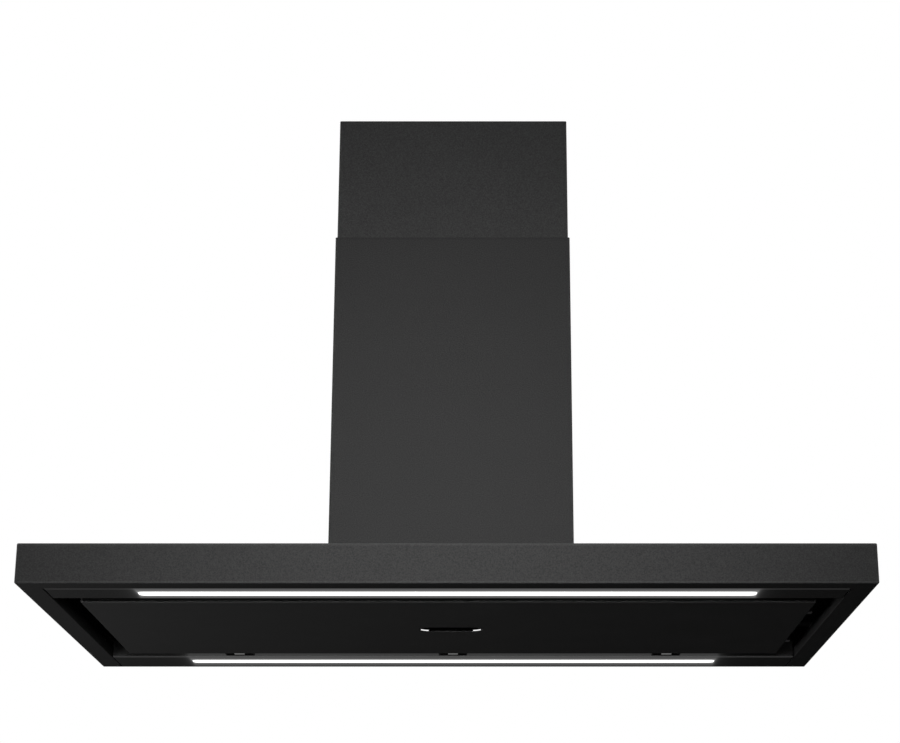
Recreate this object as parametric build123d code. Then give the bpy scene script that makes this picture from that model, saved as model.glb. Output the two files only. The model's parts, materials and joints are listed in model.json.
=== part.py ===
from build123d import *
import os

# Chimney range hood, in millimetres.
# X runs across, Y from the front (negative) to the wall (0), Z up from the canopy's underside.

# Sheet metal
GAUGE = 1.0
BEND = 1.5

# Canopy
HALF_WIDTH = 450.0
FRONT = -500.0
WALL = 0.0
CANOPY_TOP = 43.0
RIM_WIDTH = 24.0
FRONT_FLANGE = 26.0
LIP_HEIGHT = 12.0
SEAM = 1.0
RIM_EDGE = HALF_WIDTH - RIM_WIDTH
FLANGE_EDGE = FRONT + FRONT_FLANGE

# Light bars
BAR_HALF = RIM_EDGE - SEAM
BAR_HEIGHT = 20.0
FRONT_BAR = (FLANGE_EDGE, FLANGE_EDGE + 50.0)
REAR_BAR = (-71.0, WALL - GAUGE)
FRONT_LED_Y = -448.0
REAR_LED_Y = -39.0
LED_LENGTH = 658.0
LED_WIDTH = 20.0
LED_CORNER = 6.0
LED_FIT = 0.2
LED_SHOULDER = 23.0
LED_SHOULDER_TOP = 2.6
CHANNEL_WIDTH = 26.0
CHANNEL_TOP = 11.2
CHANNEL_GAUGE = 1.2
CHANNEL_FOOT = 4.0
BOARD_WIDTH = 12.0
BOARD_THICK = 1.6
LED_COUNT = 33
LED_PITCH = 20.0
END_CAP = 2.0
BAR_SCREW_X = (-400.0, -140.0, 140.0, 400.0)
FRONT_SCREW_Z = 8.0
REAR_SCREW_Z = 15.0
BAR_SHANK = 1.8

# Perimeter panel, which opens on the hinge axis at its rear edge
PANEL_HALF = 400.0
PANEL_FRONT = -403.0
PANEL_REAR = -93.0
PANEL_HEIGHT = 12.0
PANEL_MID = (PANEL_FRONT + PANEL_REAR) / 2
CORNER = 2.5
HINGE_Y = -82.0
HINGE_Z = 5.0
HINGE_PITCH = 265.0
HINGE_PLACES = (-HINGE_PITCH, 0.0, HINGE_PITCH)
HINGE_PIN_R = 2.0
PIN_HEAD_R = 3.4
RUNNING = 0.05
EAR_HALF = 17.5
EAR_GAUGE = 1.5
EAR_REACH = 7.0
BRACKET_LOW = 1.5
BRACKET_HIGH = 18.0
BARREL_R = 4.0
BARREL_HALF = 6.0
LEAF_HALF = 12.0
SLOT_LENGTH = 75.0
SLOT_WIDTH = 26.0
TAB_GAUGE = 0.8
CUP_TOP = 17.0
CUP_RIM = 9.0
RIB_Y = (-350.0, -146.0)
RIB_WIDTH = 30.0
RIB_HEIGHT = 8.0
RIB_FOOT = 8.0
RIB_INSET = 20.0
CATCH_X = 300.0
CATCH_Y = (-400.0, -387.0)
CATCH_HALF = 14.0
MAGNET_HALF = 9.0
MAGNET_GAP = 0.2
STRIKE_HALF = 12.0
STRIKE_FOOT = (-401.0, -377.0)
CLIP_DEPTHS = (160.0, 328.0)
CLIP_OUT = 5.0
CLIP_HALF = 6.0
CLIP_SPAN = (1.0, 8.0)

# Grease filter bay
BAY_HALF = 390.0
BAY_FRONT = -400.0
BAY_REAR = -90.0
BAY_BOTTOM = 22.0
LEDGE = 9.0
SIDE_LEDGE = 4.0
FILTER_WIDTH = 250.0
FILTER_PITCH = 258.0
FILTER_FRONT = -389.5
FILTER_REAR = -97.0
FILTER_BOTTOM = BAY_BOTTOM + GAUGE
FILTER_THICK = 9.0
FILTER_BORDER = 12.0
FILTER_CORNER = 3.0
DIAMOND = (14.0, 20.0)
DIAMOND_PITCH = (22.0, 28.0)
LATCH_HALF = 34.0
LATCH_DEPTH = 29.5
POCKET_WALL = 1.5
BAR_BETWEEN = 11.0

# Blower box
BOX_HALF = 130.0
BOX_FRONT = -250.0
BOX_TOP = 283.0
BOX_FLANGE = 12.0
COVER_SCREW_X = 122.0
COVER_SCREW_Z = (54.0, 163.0, 272.0)
LUG_HALF = 7.0
SWAGE_Z = (110.0, 215.0)
SWAGE_LENGTH = 190.0
SWAGE_WIDTH = 16.0

# Fan: the axis runs along X
FAN_Y = -145.0
FAN_Z = 158.0
FAN_R = 75.0
BLADE_INNER_R = 62.0
BLADE_COUNT = 36
BLADE_GAUGE = 1.2
FAN_HALF = 52.0
RING_DEPTH = 2.0
HUB_R = 14.0
SHAFT_R = 4.0
SHAFT_SPAN = (-70.0, 20.0)
NUT_SPAN = (12.0, 18.0)
NUT_R = 7.5
MOTOR_R = 44.0
MOTOR_SPAN = (-66.0, -8.0)
VENT_COUNT = 8
ARM_ANGLES = (30.0, 150.0, 270.0)
ARM_SPAN = (-68.5, -66.5)
ARM_HALF = 6.0
ARM_TIP = (71.5, 79.0)
SCROLL_HALF = 60.0
SCROLL_WALL = 2.0
SCROLL_R = 86.0
SCROLL_STEP = 11.0
TONGUE_ANGLE = 72.0
SCROLL_OUTLET = 244.0
SCROLL_FLANGE = 6.0
INLET_R = 63.0
INLET_LIP = 6.0

# Duct collar with its two flaps
COLLAR_Y = -105.0
COLLAR_R = 75.0
COLLAR_WALL = 1.5
COLLAR_TOP = 325.0
COLLAR_FLANGE_R = 84.0
ADAPTER_PLATE = 164.0
FLAP_Z = 293.0
FLAP_R = 72.6
FLAP_THICK = 1.2
KNUCKLE_R = 3.0
WIRE_R = 1.5
KNUCKLES = ((-60.0, -31.0), (0.5, 29.5))

# Electrics: a control box and a capacitor on the blower box, a lamp supply in the canopy
CONTROL_X = (-129.0, -89.0)
CONTROL_Y = (-215.0, -15.0)
CONTROL_TOP = 323.0
CONTROL_WALL = 2.0
BOARD_X = (-126.0, -92.0)
BOARD_Y = (-165.0, -20.0)
BOARD_LIFT = 4.0
RELAY_X = (-124.0, -108.0)
RELAY_Y = (-50.0, -76.0, -102.0)
TERMINAL_X = (-104.0, -94.0)
TERMINAL_Y = (-150.0, -80.0)
GLAND_X = -109.0
GLAND_Y = -185.0
GLAND_R = 9.0
GLAND_STEM_R = 7.5
GLAND_BORE_R = 4.5
CAN_X = 109.0
CAN_Z = BOX_TOP + 17.0
CAN_R = 15.0
CAN_Y = (-215.0, -155.0)
STRAP_Y = (-195.0, -180.0)
STRAP_FOOT = 19.0
DRIVER_X = (160.0, 320.0)
DRIVER_Y = (-490.0, -440.0)
DRIVER_BOTTOM = 22.0
DRIVER_EAR = 9.0

# Chimney covers
LOWER_HALF = 144.0
LOWER_FRONT = -260.0
LOWER_TOP = 486.0
UPPER_HALF = 142.0
UPPER_FRONT = -258.0
UPPER_BACK = -2.0
UPPER_BOTTOM = 214.0
UPPER_TOP = 644.0
HEM = 10.0
LOWER_HEM = 12.0
FOOT_WIDTH = 11.5
FOOT_Y = (-235.0, -25.0)
FOOT_SCREW_X = LOWER_HALF - 6.5
FOOT_SCREW_Y = (-205.0, -55.0)
OUTLET_COUNT = 5
OUTLET_PITCH = 14.0
OUTLET_Y = -140.0
OUTLET_Z = 512.0
OUTLET_LENGTH = 90.0
OUTLET_WIDTH = 6.0
BRACKET_BOTTOM = 612.0
BRACKET_TOP = 640.0
BRACKET_GAUGE = 1.5
BRACKET_DEPTH = 30.0
SIDE_SCREW = (-15.0, BRACKET_TOP - 14.0)

# Wall fixings
HANG_X = 90.0
HANG_Z = 255.0
SAFETY_X = 100.0
SAFETY_Z = 70.0
BRACKET_SLOT_X = 80.0

# Screws
HEAD_R = 3.5
HEAD_H = 2.2
SHANK_R = 2.0
SCREW_HOLE_R = 2.2


def slab(x_span, y_span, z_span):
    """A rectangular block between pairs of coordinates."""
    spans = (x_span, y_span, z_span)
    middle = [(low + high) / 2 for low, high in spans]
    size = [high - low for low, high in spans]
    return Pos(*middle) * Box(*size)


def around(middle, half):
    """The span that reaches half to each side of the middle."""
    return (middle - half, middle + half)


def rod_x(y, z, radius, x_span):
    """A round bar along X."""
    length = x_span[1] - x_span[0]
    return Pos(sum(x_span) / 2, y, z) * Rot(0, 90, 0) * Cylinder(radius, length)


def rod_y(x, z, radius, y_span):
    """A round bar along Y."""
    length = y_span[1] - y_span[0]
    return Pos(x, sum(y_span) / 2, z) * Rot(90, 0, 0) * Cylinder(radius, length)


def rod_z(x, y, radius, z_span):
    """A round bar along Z."""
    length = z_span[1] - z_span[0]
    return Pos(x, y, sum(z_span) / 2) * Cylinder(radius, length)


def slot_through_y(x, z, length, width, y_span):
    """A slot with round ends, long along X, cut along Y."""
    face = Plane.XZ * Pos(x, z) * SlotOverall(length, width)
    tool = extrude(face, amount=y_span[1] - y_span[0], both=True)
    return tool & slab(around(x, length), y_span, around(z, length))


def hat_bar(x_span, y, z, top_width, height, foot, gauge):
    """A hat section with outward feet at its lower edge, run along X."""
    half = top_width / 2
    inside = half - gauge
    points = [
        (-half - foot, 0),
        (-half - foot, gauge),
        (-half, gauge),
        (-half, height),
        (half, height),
        (half, gauge),
        (half + foot, gauge),
        (half + foot, 0),
        (inside, 0),
        (inside, height - gauge),
        (-inside, height - gauge),
        (-inside, 0),
    ]
    profile = make_face(Polyline(*points, close=True))
    placed = Plane.YZ.offset(x_span[0]) * Pos(y, z) * profile
    return extrude(placed, amount=x_span[1] - x_span[0])


def tray(x_half, y_span, height, corner):
    """A folded tray, open upwards, with bent lower edges."""
    width = 2 * x_half
    depth = y_span[1] - y_span[0]
    middle = Pos(0, sum(y_span) / 2)
    outer = extrude(middle * RectangleRounded(width, depth, corner), amount=height)
    outer = fillet(outer.edges().group_by(Axis.Z)[0], BEND)
    inner_face = RectangleRounded(width - 2 * GAUGE, depth - 2 * GAUGE, corner - GAUGE)
    inner = extrude(Pos(0, 0, GAUGE) * middle * inner_face, amount=height)
    return outer - inner


# Canopy


def canopy_shell():
    """The folded canopy: top, front, sides, back, front flange and side rims with lips."""
    outer = slab((-HALF_WIDTH, HALF_WIDTH), (FRONT, WALL), (0, CANOPY_TOP))
    bends = outer.edges().filter_by(lambda edge: edge.center().Y < WALL - GAUGE)
    outer = fillet(bends, BEND)
    hollow = slab(
        (GAUGE - HALF_WIDTH, HALF_WIDTH - GAUGE),
        (FRONT + GAUGE, WALL - GAUGE),
        (GAUGE, CANOPY_TOP - GAUGE),
    )
    mouth = slab((-RIM_EDGE, RIM_EDGE), (FLANGE_EDGE, WALL - GAUGE), (-GAUGE, 2 * GAUGE))
    shell = outer - hollow - mouth
    lip_edge = RIM_EDGE + GAUGE
    shell += slab((-lip_edge, lip_edge), (FLANGE_EDGE - GAUGE, FLANGE_EDGE), (0, LIP_HEIGHT))
    for side in (-1, 1):
        x_span = sorted((side * RIM_EDGE, side * lip_edge))
        shell += slab(x_span, (FLANGE_EDGE - GAUGE, WALL - GAUGE), (0, LIP_HEIGHT))
    air_half = BOX_HALF - BOX_FLANGE
    air_y = (BOX_FRONT + BOX_FLANGE, BAY_REAR - 6.0)
    return shell - slab((-air_half, air_half), air_y, around(CANOPY_TOP, 2 * GAUGE))


def light_bar(y_span, led_y):
    """A folded tray with the long opening for its lamp."""
    bar = tray(BAR_HALF, y_span, BAR_HEIGHT, 1.6)
    return bar - extrude(Pos(0, led_y, -GAUGE) * led_outline(LED_FIT), amount=3 * GAUGE)


def led_outline(fit):
    """The plan of a strip's visible face, grown by a fit on every side."""
    return RectangleRounded(LED_LENGTH + 2 * fit, LED_WIDTH + 2 * fit, LED_CORNER + fit)


def led_diffuser(led_y):
    """An opal strip: its lower face is flush with the bar, its shoulders rest inside."""
    strip = extrude(Pos(0, led_y) * led_outline(0), amount=GAUGE)
    reach = around(0, LED_LENGTH / 2 + 2.0)
    shoulder = (GAUGE, LED_SHOULDER_TOP)
    return strip + slab(reach, around(led_y, LED_SHOULDER / 2), shoulder)


def led_channel(led_y):
    """The aluminium profile over a diffuser."""
    half = LED_LENGTH / 2 + 3.0
    height = CHANNEL_TOP - GAUGE
    return hat_bar(
        (-half, half), led_y, GAUGE, CHANNEL_WIDTH, height, CHANNEL_FOOT, CHANNEL_GAUGE
    )


def led_board(led_y):
    """The circuit strip under the profile's web, with its lamps in a row."""
    top = CHANNEL_TOP - CHANNEL_GAUGE
    bottom = top - BOARD_THICK
    half = LED_LENGTH / 2
    board = slab((-half, half), around(led_y, BOARD_WIDTH / 2), (bottom, top))
    first = -LED_PITCH * (LED_COUNT - 1) / 2
    for index in range(LED_COUNT):
        x = first + index * LED_PITCH
        board += slab(around(x, 1.8), around(led_y, 1.4), (bottom - 0.8, bottom))
    return board


def led_end_caps():
    """Four plastic caps that close the two profiles."""
    start = LED_LENGTH / 2 + 3.0
    caps = []
    for led_y in (FRONT_LED_Y, REAR_LED_Y):
        for side in (-1, 1):
            x_span = sorted((side * start, side * (start + END_CAP)))
            y_span = around(led_y, CHANNEL_WIDTH / 2)
            caps.append(slab(x_span, y_span, (GAUGE, CHANNEL_TOP)))
    return caps


def bar_screws():
    """Screws that hold each light bar to the canopy's front lip or back wall."""
    screws = []
    seats = ((FLANGE_EDGE + GAUGE, 1, FRONT_SCREW_Z), (WALL - 2 * GAUGE, -1, REAR_SCREW_Z))
    for x in BAR_SCREW_X:
        for bearing, inward, z in seats:
            head = sorted((bearing, bearing + inward * HEAD_H))
            shank = sorted((bearing, bearing - inward * BAR_SHANK))
            screws.append(rod_y(x, z, HEAD_R, head) + rod_y(x, z, SHANK_R, shank))
    return screws


def drilled_for_bar_screws(shape):
    """The shape with the light bars' screw holes."""
    for x in BAR_SCREW_X:
        for y, z in ((FLANGE_EDGE, FRONT_SCREW_Z), (WALL - GAUGE, REAR_SCREW_Z)):
            shape -= rod_y(x, z, SCREW_HOLE_R, around(y, 1.5 * GAUGE))
    return shape


# Grease filters


def filter_bay_frame():
    """A sheet frame under the top plate, with ledges and two bars between the filters."""
    inner = BAY_HALF - GAUGE
    wall_front = BAY_FRONT + GAUGE
    wall_rear = BAY_REAR - GAUGE
    top = CANOPY_TOP - GAUGE
    frame = slab((-BAY_HALF, BAY_HALF), (BAY_FRONT, BAY_REAR), (BAY_BOTTOM, top))
    frame -= slab((-inner, inner), (wall_front, wall_rear), (BAY_BOTTOM + GAUGE, top + GAUGE))
    ledges = (BAY_FRONT + LEDGE, BAY_REAR - LEDGE)
    side_ledge = BAY_HALF - SIDE_LEDGE
    frame -= slab(
        (-side_ledge, side_ledge), ledges, (BAY_BOTTOM - GAUGE, BAY_BOTTOM + 2 * GAUGE)
    )
    for side in (-1, 1):
        x = side * FILTER_PITCH / 2
        frame += slab(around(x, 3.0), ledges, (BAY_BOTTOM, BAY_BOTTOM + GAUGE))
        bar_top = BAY_BOTTOM + BAR_BETWEEN
        frame += slab(around(x, GAUGE / 2), (wall_front, wall_rear), (BAY_BOTTOM, bar_top))
    return frame


def filter_frame(x):
    """A filter's border, with the pocket in which its latch slides."""
    depth = FILTER_REAR - FILTER_FRONT
    top = FILTER_BOTTOM + FILTER_THICK
    span = (FILTER_BOTTOM, top)
    middle = Pos(x, (FILTER_FRONT + FILTER_REAR) / 2, FILTER_BOTTOM)
    outline = RectangleRounded(FILTER_WIDTH, depth, FILTER_CORNER)
    outline -= Rectangle(FILTER_WIDTH - 2 * FILTER_BORDER, depth - 2 * FILTER_BORDER)
    frame = extrude(middle * outline, amount=FILTER_THICK)
    frame += slab(around(x, LATCH_HALF), (FILTER_FRONT, FILTER_FRONT + LATCH_DEPTH), span)
    pocket = (FILTER_BOTTOM + POCKET_WALL, top - POCKET_WALL)
    frame -= slab(around(x, LATCH_HALF - 4), (FILTER_FRONT - 1, FILTER_FRONT + 25.5), pocket)
    frame -= slab(around(x, 10.5), (FILTER_FRONT - 1, FILTER_FRONT + 7), around(FILTER_BOTTOM, 2))
    finger = (FILTER_FRONT + 7.5, FILTER_FRONT + 22.5)
    return frame - slab(around(x, 14), finger, around(FILTER_BOTTOM, 2))


def filter_mesh(x):
    """The expanded aluminium core, a plate with staggered diamond openings."""
    half = FILTER_WIDTH / 2 - FILTER_BORDER
    front = FILTER_FRONT + FILTER_BORDER
    rear = FILTER_REAR - FILTER_BORDER
    middle = (front + rear) / 2
    sheet = Pos(x, middle) * Rectangle(2 * half, rear - front)
    sheet -= Pos(x, FILTER_FRONT + LATCH_DEPTH / 2) * Rectangle(2 * LATCH_HALF, LATCH_DEPTH)
    wide, tall = DIAMOND
    corners = ((wide / 2, 0), (0, tall / 2), (-wide / 2, 0), (0, -tall / 2))
    diamond = make_face(Polyline(*corners, close=True))
    behind_latch = Pos(x, middle + LATCH_DEPTH / 2)
    for across, along in ((9, 8), (8, 7)):
        for place in GridLocations(*DIAMOND_PITCH, across, along):
            sheet -= behind_latch * place * diamond
    return extrude(Pos(0, 0, FILTER_BOTTOM + 2) * sheet, amount=FILTER_THICK - 4)


def filter_latch(x):
    """A sliding catch: its tongue lies over the bay's front ledge."""
    low = FILTER_BOTTOM + 1.8
    high = FILTER_BOTTOM + FILTER_THICK - 1.8
    body = slab(around(x, LATCH_HALF - 4.3), (FILTER_FRONT + 0.5, FILTER_FRONT + 18.5), (low, high))
    tongue = slab(around(x, 10), (FILTER_FRONT - 5.5, FILTER_FRONT + 0.5), (FILTER_BOTTOM + 0.1, 28))
    grip = slab(around(x, 12), (FILTER_FRONT + 9.5, FILTER_FRONT + 12.5), (BAY_BOTTOM - 0.5, low))
    return body + tongue + grip


# Perimeter panel


def perimeter_panel():
    """The central tray with its finger slot."""
    panel = tray(PANEL_HALF, (PANEL_FRONT, PANEL_REAR), PANEL_HEIGHT, CORNER)
    slot = Pos(0, PANEL_MID, -GAUGE) * SlotOverall(SLOT_LENGTH, SLOT_WIDTH)
    return panel - extrude(slot, amount=3 * GAUGE)


def finger_cup():
    """A pressed cup over the slot, with a rim that is welded to the panel."""
    place = Pos(0, PANEL_MID, GAUGE)
    rim = SlotOverall(SLOT_LENGTH + 2 * CUP_RIM, SLOT_WIDTH + 2 * CUP_RIM)
    cup = extrude(place * rim, amount=GAUGE)
    outside = SlotOverall(SLOT_LENGTH + 2 * GAUGE, SLOT_WIDTH + 2 * GAUGE)
    wall = extrude(place * outside, amount=CUP_TOP - GAUGE)
    wall = fillet(wall.edges().group_by(Axis.Z)[-1], 2.0)
    cup += wall
    inside = SlotOverall(SLOT_LENGTH, SLOT_WIDTH)
    return cup - extrude(place * inside, amount=CUP_TOP - 2 * GAUGE)


def cup_tabs():
    """Two bright tabs that are bent round the slot's rear corners."""
    end = (SLOT_LENGTH - SLOT_WIDTH) / 2
    radius = SLOT_WIDTH / 2 - TAB_GAUGE / 2
    tabs = []
    for side in (-1, 1):
        first = 90 - side * 30 - 22.5
        arc = CenterArc((side * end, 0), radius, first, 45)
        face = Pos(0, PANEL_MID, 0.2) * trace(arc, TAB_GAUGE)
        tabs.append(extrude(face, amount=3.0))
    return tabs


def panel_stiffeners():
    """Two hat ribs across the panel."""
    span = (RIB_INSET - PANEL_HALF, PANEL_HALF - RIB_INSET)
    return [hat_bar(span, y, GAUGE, RIB_WIDTH, RIB_HEIGHT, RIB_FOOT, GAUGE) for y in RIB_Y]


def strike_plates():
    """Two steel plates on the panel that the catches' magnets hold."""
    plates = []
    for side in (-1, 1):
        x_span = around(side * CATCH_X, STRIKE_HALF)
        foot = slab(x_span, STRIKE_FOOT, (GAUGE, 2 * GAUGE))
        riser = slab(x_span, (CATCH_Y[1] - GAUGE, CATCH_Y[1]), (GAUGE, PANEL_HEIGHT))
        top = slab(x_span, CATCH_Y, (PANEL_HEIGHT, PANEL_HEIGHT + GAUGE))
        plates.append(foot + riser + top)
    return plates


def catch_magnets():
    """Two magnet catches under the bay's front ledge."""
    catches = []
    for side in (-1, 1):
        x = side * CATCH_X
        seat = PANEL_HEIGHT + 2 * GAUGE
        holder = slab(around(x, CATCH_HALF), CATCH_Y, (seat, BAY_BOTTOM))
        holder = fillet(holder.edges().filter_by(Axis.Z), 2.0)
        magnet_y = (CATCH_Y[0] + 2.0, CATCH_Y[1] - 2.0)
        face = PANEL_HEIGHT + GAUGE + MAGNET_GAP
        magnet = slab(around(x, MAGNET_HALF), magnet_y, (face, seat))
        catches.append(holder + magnet)
    return catches


def edge_clips():
    """Two light plastic clips on the panel's right edge."""
    clips = []
    for depth in CLIP_DEPTHS:
        y = FRONT + depth
        clip = slab((PANEL_HALF, PANEL_HALF + CLIP_OUT), around(y, CLIP_HALF), CLIP_SPAN)
        clips.append(fillet(clip.edges().filter_by(Axis.Z).sort_by(Axis.X)[-2:], 2.0))
    return clips


def hinge_bracket(x):
    """A dark U bracket on the rear light bar: its ears carry the hinge pin."""
    width = around(x, EAR_HALF)
    plate_front = REAR_BAR[0] - EAR_GAUGE
    plate = slab(width, (plate_front, REAR_BAR[0]), (BRACKET_LOW, BRACKET_HIGH))
    web_y = (plate_front - 4.0, plate_front)
    bracket = plate + slab(width, web_y, (BRACKET_LOW, BRACKET_LOW + EAR_GAUGE))
    for side in (-1, 1):
        x_span = sorted((x + side * (EAR_HALF - EAR_GAUGE), x + side * EAR_HALF))
        ear = slab(x_span, (HINGE_Y - EAR_REACH, plate_front), (BRACKET_LOW, HINGE_Z + EAR_REACH))
        front_edges = ear.edges().filter_by(Axis.X).group_by(Axis.Y)[0]
        bracket += fillet(front_edges, 5.0)
    return bracket - rod_x(HINGE_Y, HINGE_Z, HINGE_PIN_R, around(x, EAR_HALF + 1.0))


def hinge_leaf(x):
    """The bright leaf on the panel's rear edge, rolled round the pin."""
    width = around(x, BARREL_HALF)
    barrel = rod_x(HINGE_Y, HINGE_Z, BARREL_R, width)
    arm = slab(width, (PANEL_REAR, HINGE_Y), (HINGE_Z - BARREL_R, HINGE_Z - HINGE_PIN_R))
    base_y = (PANEL_REAR, PANEL_REAR + 1.2)
    base = slab(around(x, LEAF_HALF), base_y, (2 * GAUGE, PANEL_HEIGHT - GAUGE))
    leaf = barrel + arm + base
    return leaf - rod_x(HINGE_Y, HINGE_Z, HINGE_PIN_R + RUNNING, around(x, LEAF_HALF))


def hinge_pins():
    """One pin through each bracket, with a head at one end."""
    pins = []
    for x in HINGE_PLACES:
        left, right = around(x, EAR_HALF)
        pin = rod_x(HINGE_Y, HINGE_Z, HINGE_PIN_R, (left, right + EAR_GAUGE))
        head = rod_x(HINGE_Y, HINGE_Z, PIN_HEAD_R, (left - EAR_GAUGE, left))
        pins.append(pin + head)
    return pins


# Blower


def blower_box():
    """The folded housing: back, sides, top and a flange round its foot."""
    inner = BOX_HALF - GAUGE
    box = slab((-BOX_HALF, BOX_HALF), (BOX_FRONT + GAUGE, WALL), (CANOPY_TOP, BOX_TOP))
    box -= slab(
        (-inner, inner), (BOX_FRONT - GAUGE, WALL - GAUGE), (CANOPY_TOP + GAUGE, BOX_TOP - GAUGE)
    )
    foot = BOX_HALF - BOX_FLANGE
    foot_y = (BOX_FRONT + BOX_FLANGE, -BOX_FLANGE)
    box -= slab((-foot, foot), foot_y, around(CANOPY_TOP, 2 * GAUGE))
    box -= rod_z(0, COLLAR_Y, COLLAR_R - 2.0, around(BOX_TOP, 3.0))
    wall = around(WALL, 3 * GAUGE)
    for side in (-1, 1):
        box -= slot_through_y(side * HANG_X, HANG_Z, 24.0, 8.0, wall)
        box -= rod_y(side * SAFETY_X, SAFETY_Z, 4.0, wall)
    for x, z in cover_screw_places():
        box += cover_lug(x, z)
    return box


def blower_box_cover():
    """The front plate, with two stiffening swages and side returns."""
    cover = slab((-BOX_HALF, BOX_HALF), (BOX_FRONT, BOX_FRONT + GAUGE), (CANOPY_TOP, BOX_TOP))
    front = Plane.XZ.offset(-BOX_FRONT)
    for z in SWAGE_Z:
        face = front * Pos(0, z) * SlotOverall(SWAGE_LENGTH, SWAGE_WIDTH)
        cover += extrude(face, amount=2 * GAUGE)
    for x, z in cover_screw_places():
        cover -= rod_y(x, z, SCREW_HOLE_R, around(BOX_FRONT, 3.0))
    return cover


def cover_screw_places():
    """Six places along the cover's edges."""
    return [(side * COVER_SCREW_X, z) for side in (-1, 1) for z in COVER_SCREW_Z]


def cover_lug(x, z):
    """A threaded lug that is bent inwards from the box's side, behind a cover screw."""
    outward = 1 if x > 0 else -1
    x_span = sorted((x - outward * LUG_HALF, outward * (BOX_HALF - GAUGE / 2)))
    lug = slab(x_span, (BOX_FRONT + GAUGE, BOX_FRONT + 4 * GAUGE), around(z, LUG_HALF))
    return lug - rod_y(x, z, SHANK_R, around(BOX_FRONT, 12.0))


def cover_screws():
    """The cover's screws."""
    screws = []
    for x, z in cover_screw_places():
        head = rod_y(x, z, HEAD_R, (BOX_FRONT - HEAD_H, BOX_FRONT))
        shank = rod_y(x, z, SHANK_R, (BOX_FRONT, BOX_FRONT + 8.0))
        screws.append(head + shank)
    return screws


def scroll_face(grow, top):
    """The volute's side view: four arcs that step outwards, then the upright outlet."""
    half = SCROLL_STEP / 2
    first = SCROLL_R - SCROLL_STEP
    tongue = CenterArc((-half, half), first + grow, TONGUE_ANGLE, 90 - TONGUE_ANGLE)
    rise = CenterArc((-half, -half), SCROLL_R + grow, 90, 90)
    base = CenterArc((half, -half), SCROLL_R + SCROLL_STEP + grow, 180, 90)
    back = CenterArc((half, half), SCROLL_R + 2 * SCROLL_STEP + grow, 270, 90)
    start = tongue @ 0
    end = back @ 1
    outlet = Polyline(end, (end.X, top - FAN_Z), (start.X, top - FAN_Z), start)
    outline = Wire([tongue, rise, base, back] + outlet.edges())
    return Pos(FAN_Y, FAN_Z) * make_face(outline)


def scroll_half(side):
    """One moulded half of the volute, with its bell mouth and joint flange."""
    wall = SCROLL_WALL
    outer = extrude(Plane.YZ * scroll_face(wall, SCROLL_OUTLET), amount=side * SCROLL_HALF)
    outer += extrude(Plane.YZ * scroll_face(wall + SCROLL_FLANGE, SCROLL_OUTLET), amount=side * wall)
    inner = extrude(Plane.YZ * scroll_face(0, SCROLL_OUTLET + 5), amount=side * (SCROLL_HALF - wall))
    half = outer - inner
    half -= rod_x(FAN_Y, FAN_Z, INLET_R, around(side * SCROLL_HALF, 2 * wall))
    return half + bell_mouth(side)


def bell_mouth(side):
    """A quarter-round lip that flares away from the inlet."""
    lip = INLET_LIP
    centre_x = side * SCROLL_HALF
    centre_r = INLET_R + lip
    ring = Circle(lip) - Circle(lip - 1.5)
    quarter = Pos(side * lip / 2, -lip / 2) * Rectangle(lip, lip)
    profile = Pos(centre_x, centre_r) * (ring & quarter)
    lip_ring = revolve(profile, Axis.X, 360)
    return Pos(0, FAN_Y, FAN_Z) * lip_ring


def impeller():
    """A double-inlet wheel: forward-curved blades, two end rings, a disc and a hub."""
    root = Vector(BLADE_INNER_R, 0)
    belly = Vector(68.5, 0).rotate(Axis.Z, 1.2)
    tip = Vector(FAN_R, 0).rotate(Axis.Z, 8.0)
    blade = trace(ThreePointArc(root, belly, tip), BLADE_GAUGE)
    hub = extrude(Circle(HUB_R), amount=NUT_SPAN[0] + 5.0)
    wheel = extrude(Circle(FAN_R - 1.0), amount=GAUGE, both=True) + Pos(0, 0, -5.0) * hub
    end_ring = extrude(Circle(FAN_R + 1.0) - Circle(BLADE_INNER_R - 0.5), amount=RING_DEPTH)
    blades = [
        extrude(place * blade, amount=FAN_HALF, both=True)
        for place in PolarLocations(0, BLADE_COUNT)
    ]
    rings = [Pos(0, 0, z) * end_ring for z in (-FAN_HALF, FAN_HALF - RING_DEPTH)]
    wheel = wheel + blades + rings
    wheel -= Cylinder(SHAFT_R, 2 * FAN_HALF)
    return Pos(0, FAN_Y, FAN_Z) * Plane.YZ.location * wheel


def fan_shaft():
    """The motor's shaft, on which the impeller sits."""
    return rod_x(FAN_Y, FAN_Z, SHAFT_R, SHAFT_SPAN)


def hub_nut():
    """The nut that holds the impeller on its shaft."""
    hexagon = Plane.YZ.offset(NUT_SPAN[0]) * RegularPolygon(NUT_R, 6)
    prism = extrude(hexagon, amount=NUT_SPAN[1] - NUT_SPAN[0])
    return Pos(0, FAN_Y, FAN_Z) * prism - rod_x(FAN_Y, FAN_Z, SHAFT_R, SHAFT_SPAN)


def fan_motor():
    """The motor inside the impeller's left half."""
    body = rod_x(FAN_Y, FAN_Z, MOTOR_R, MOTOR_SPAN)
    body = fillet(body.edges().sort_by(Axis.X)[-1], 6.0)
    for index in range(VENT_COUNT):
        vent = slab(around(MOTOR_SPAN[1], 2.0), (18.0, 34.0), (-2.5, 2.5))
        body -= Pos(0, FAN_Y, FAN_Z) * Rot(index * 360.0 / VENT_COUNT, 0, 0) * vent
    return body - rod_x(FAN_Y, FAN_Z, SHAFT_R + RUNNING, SHAFT_SPAN)


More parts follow.
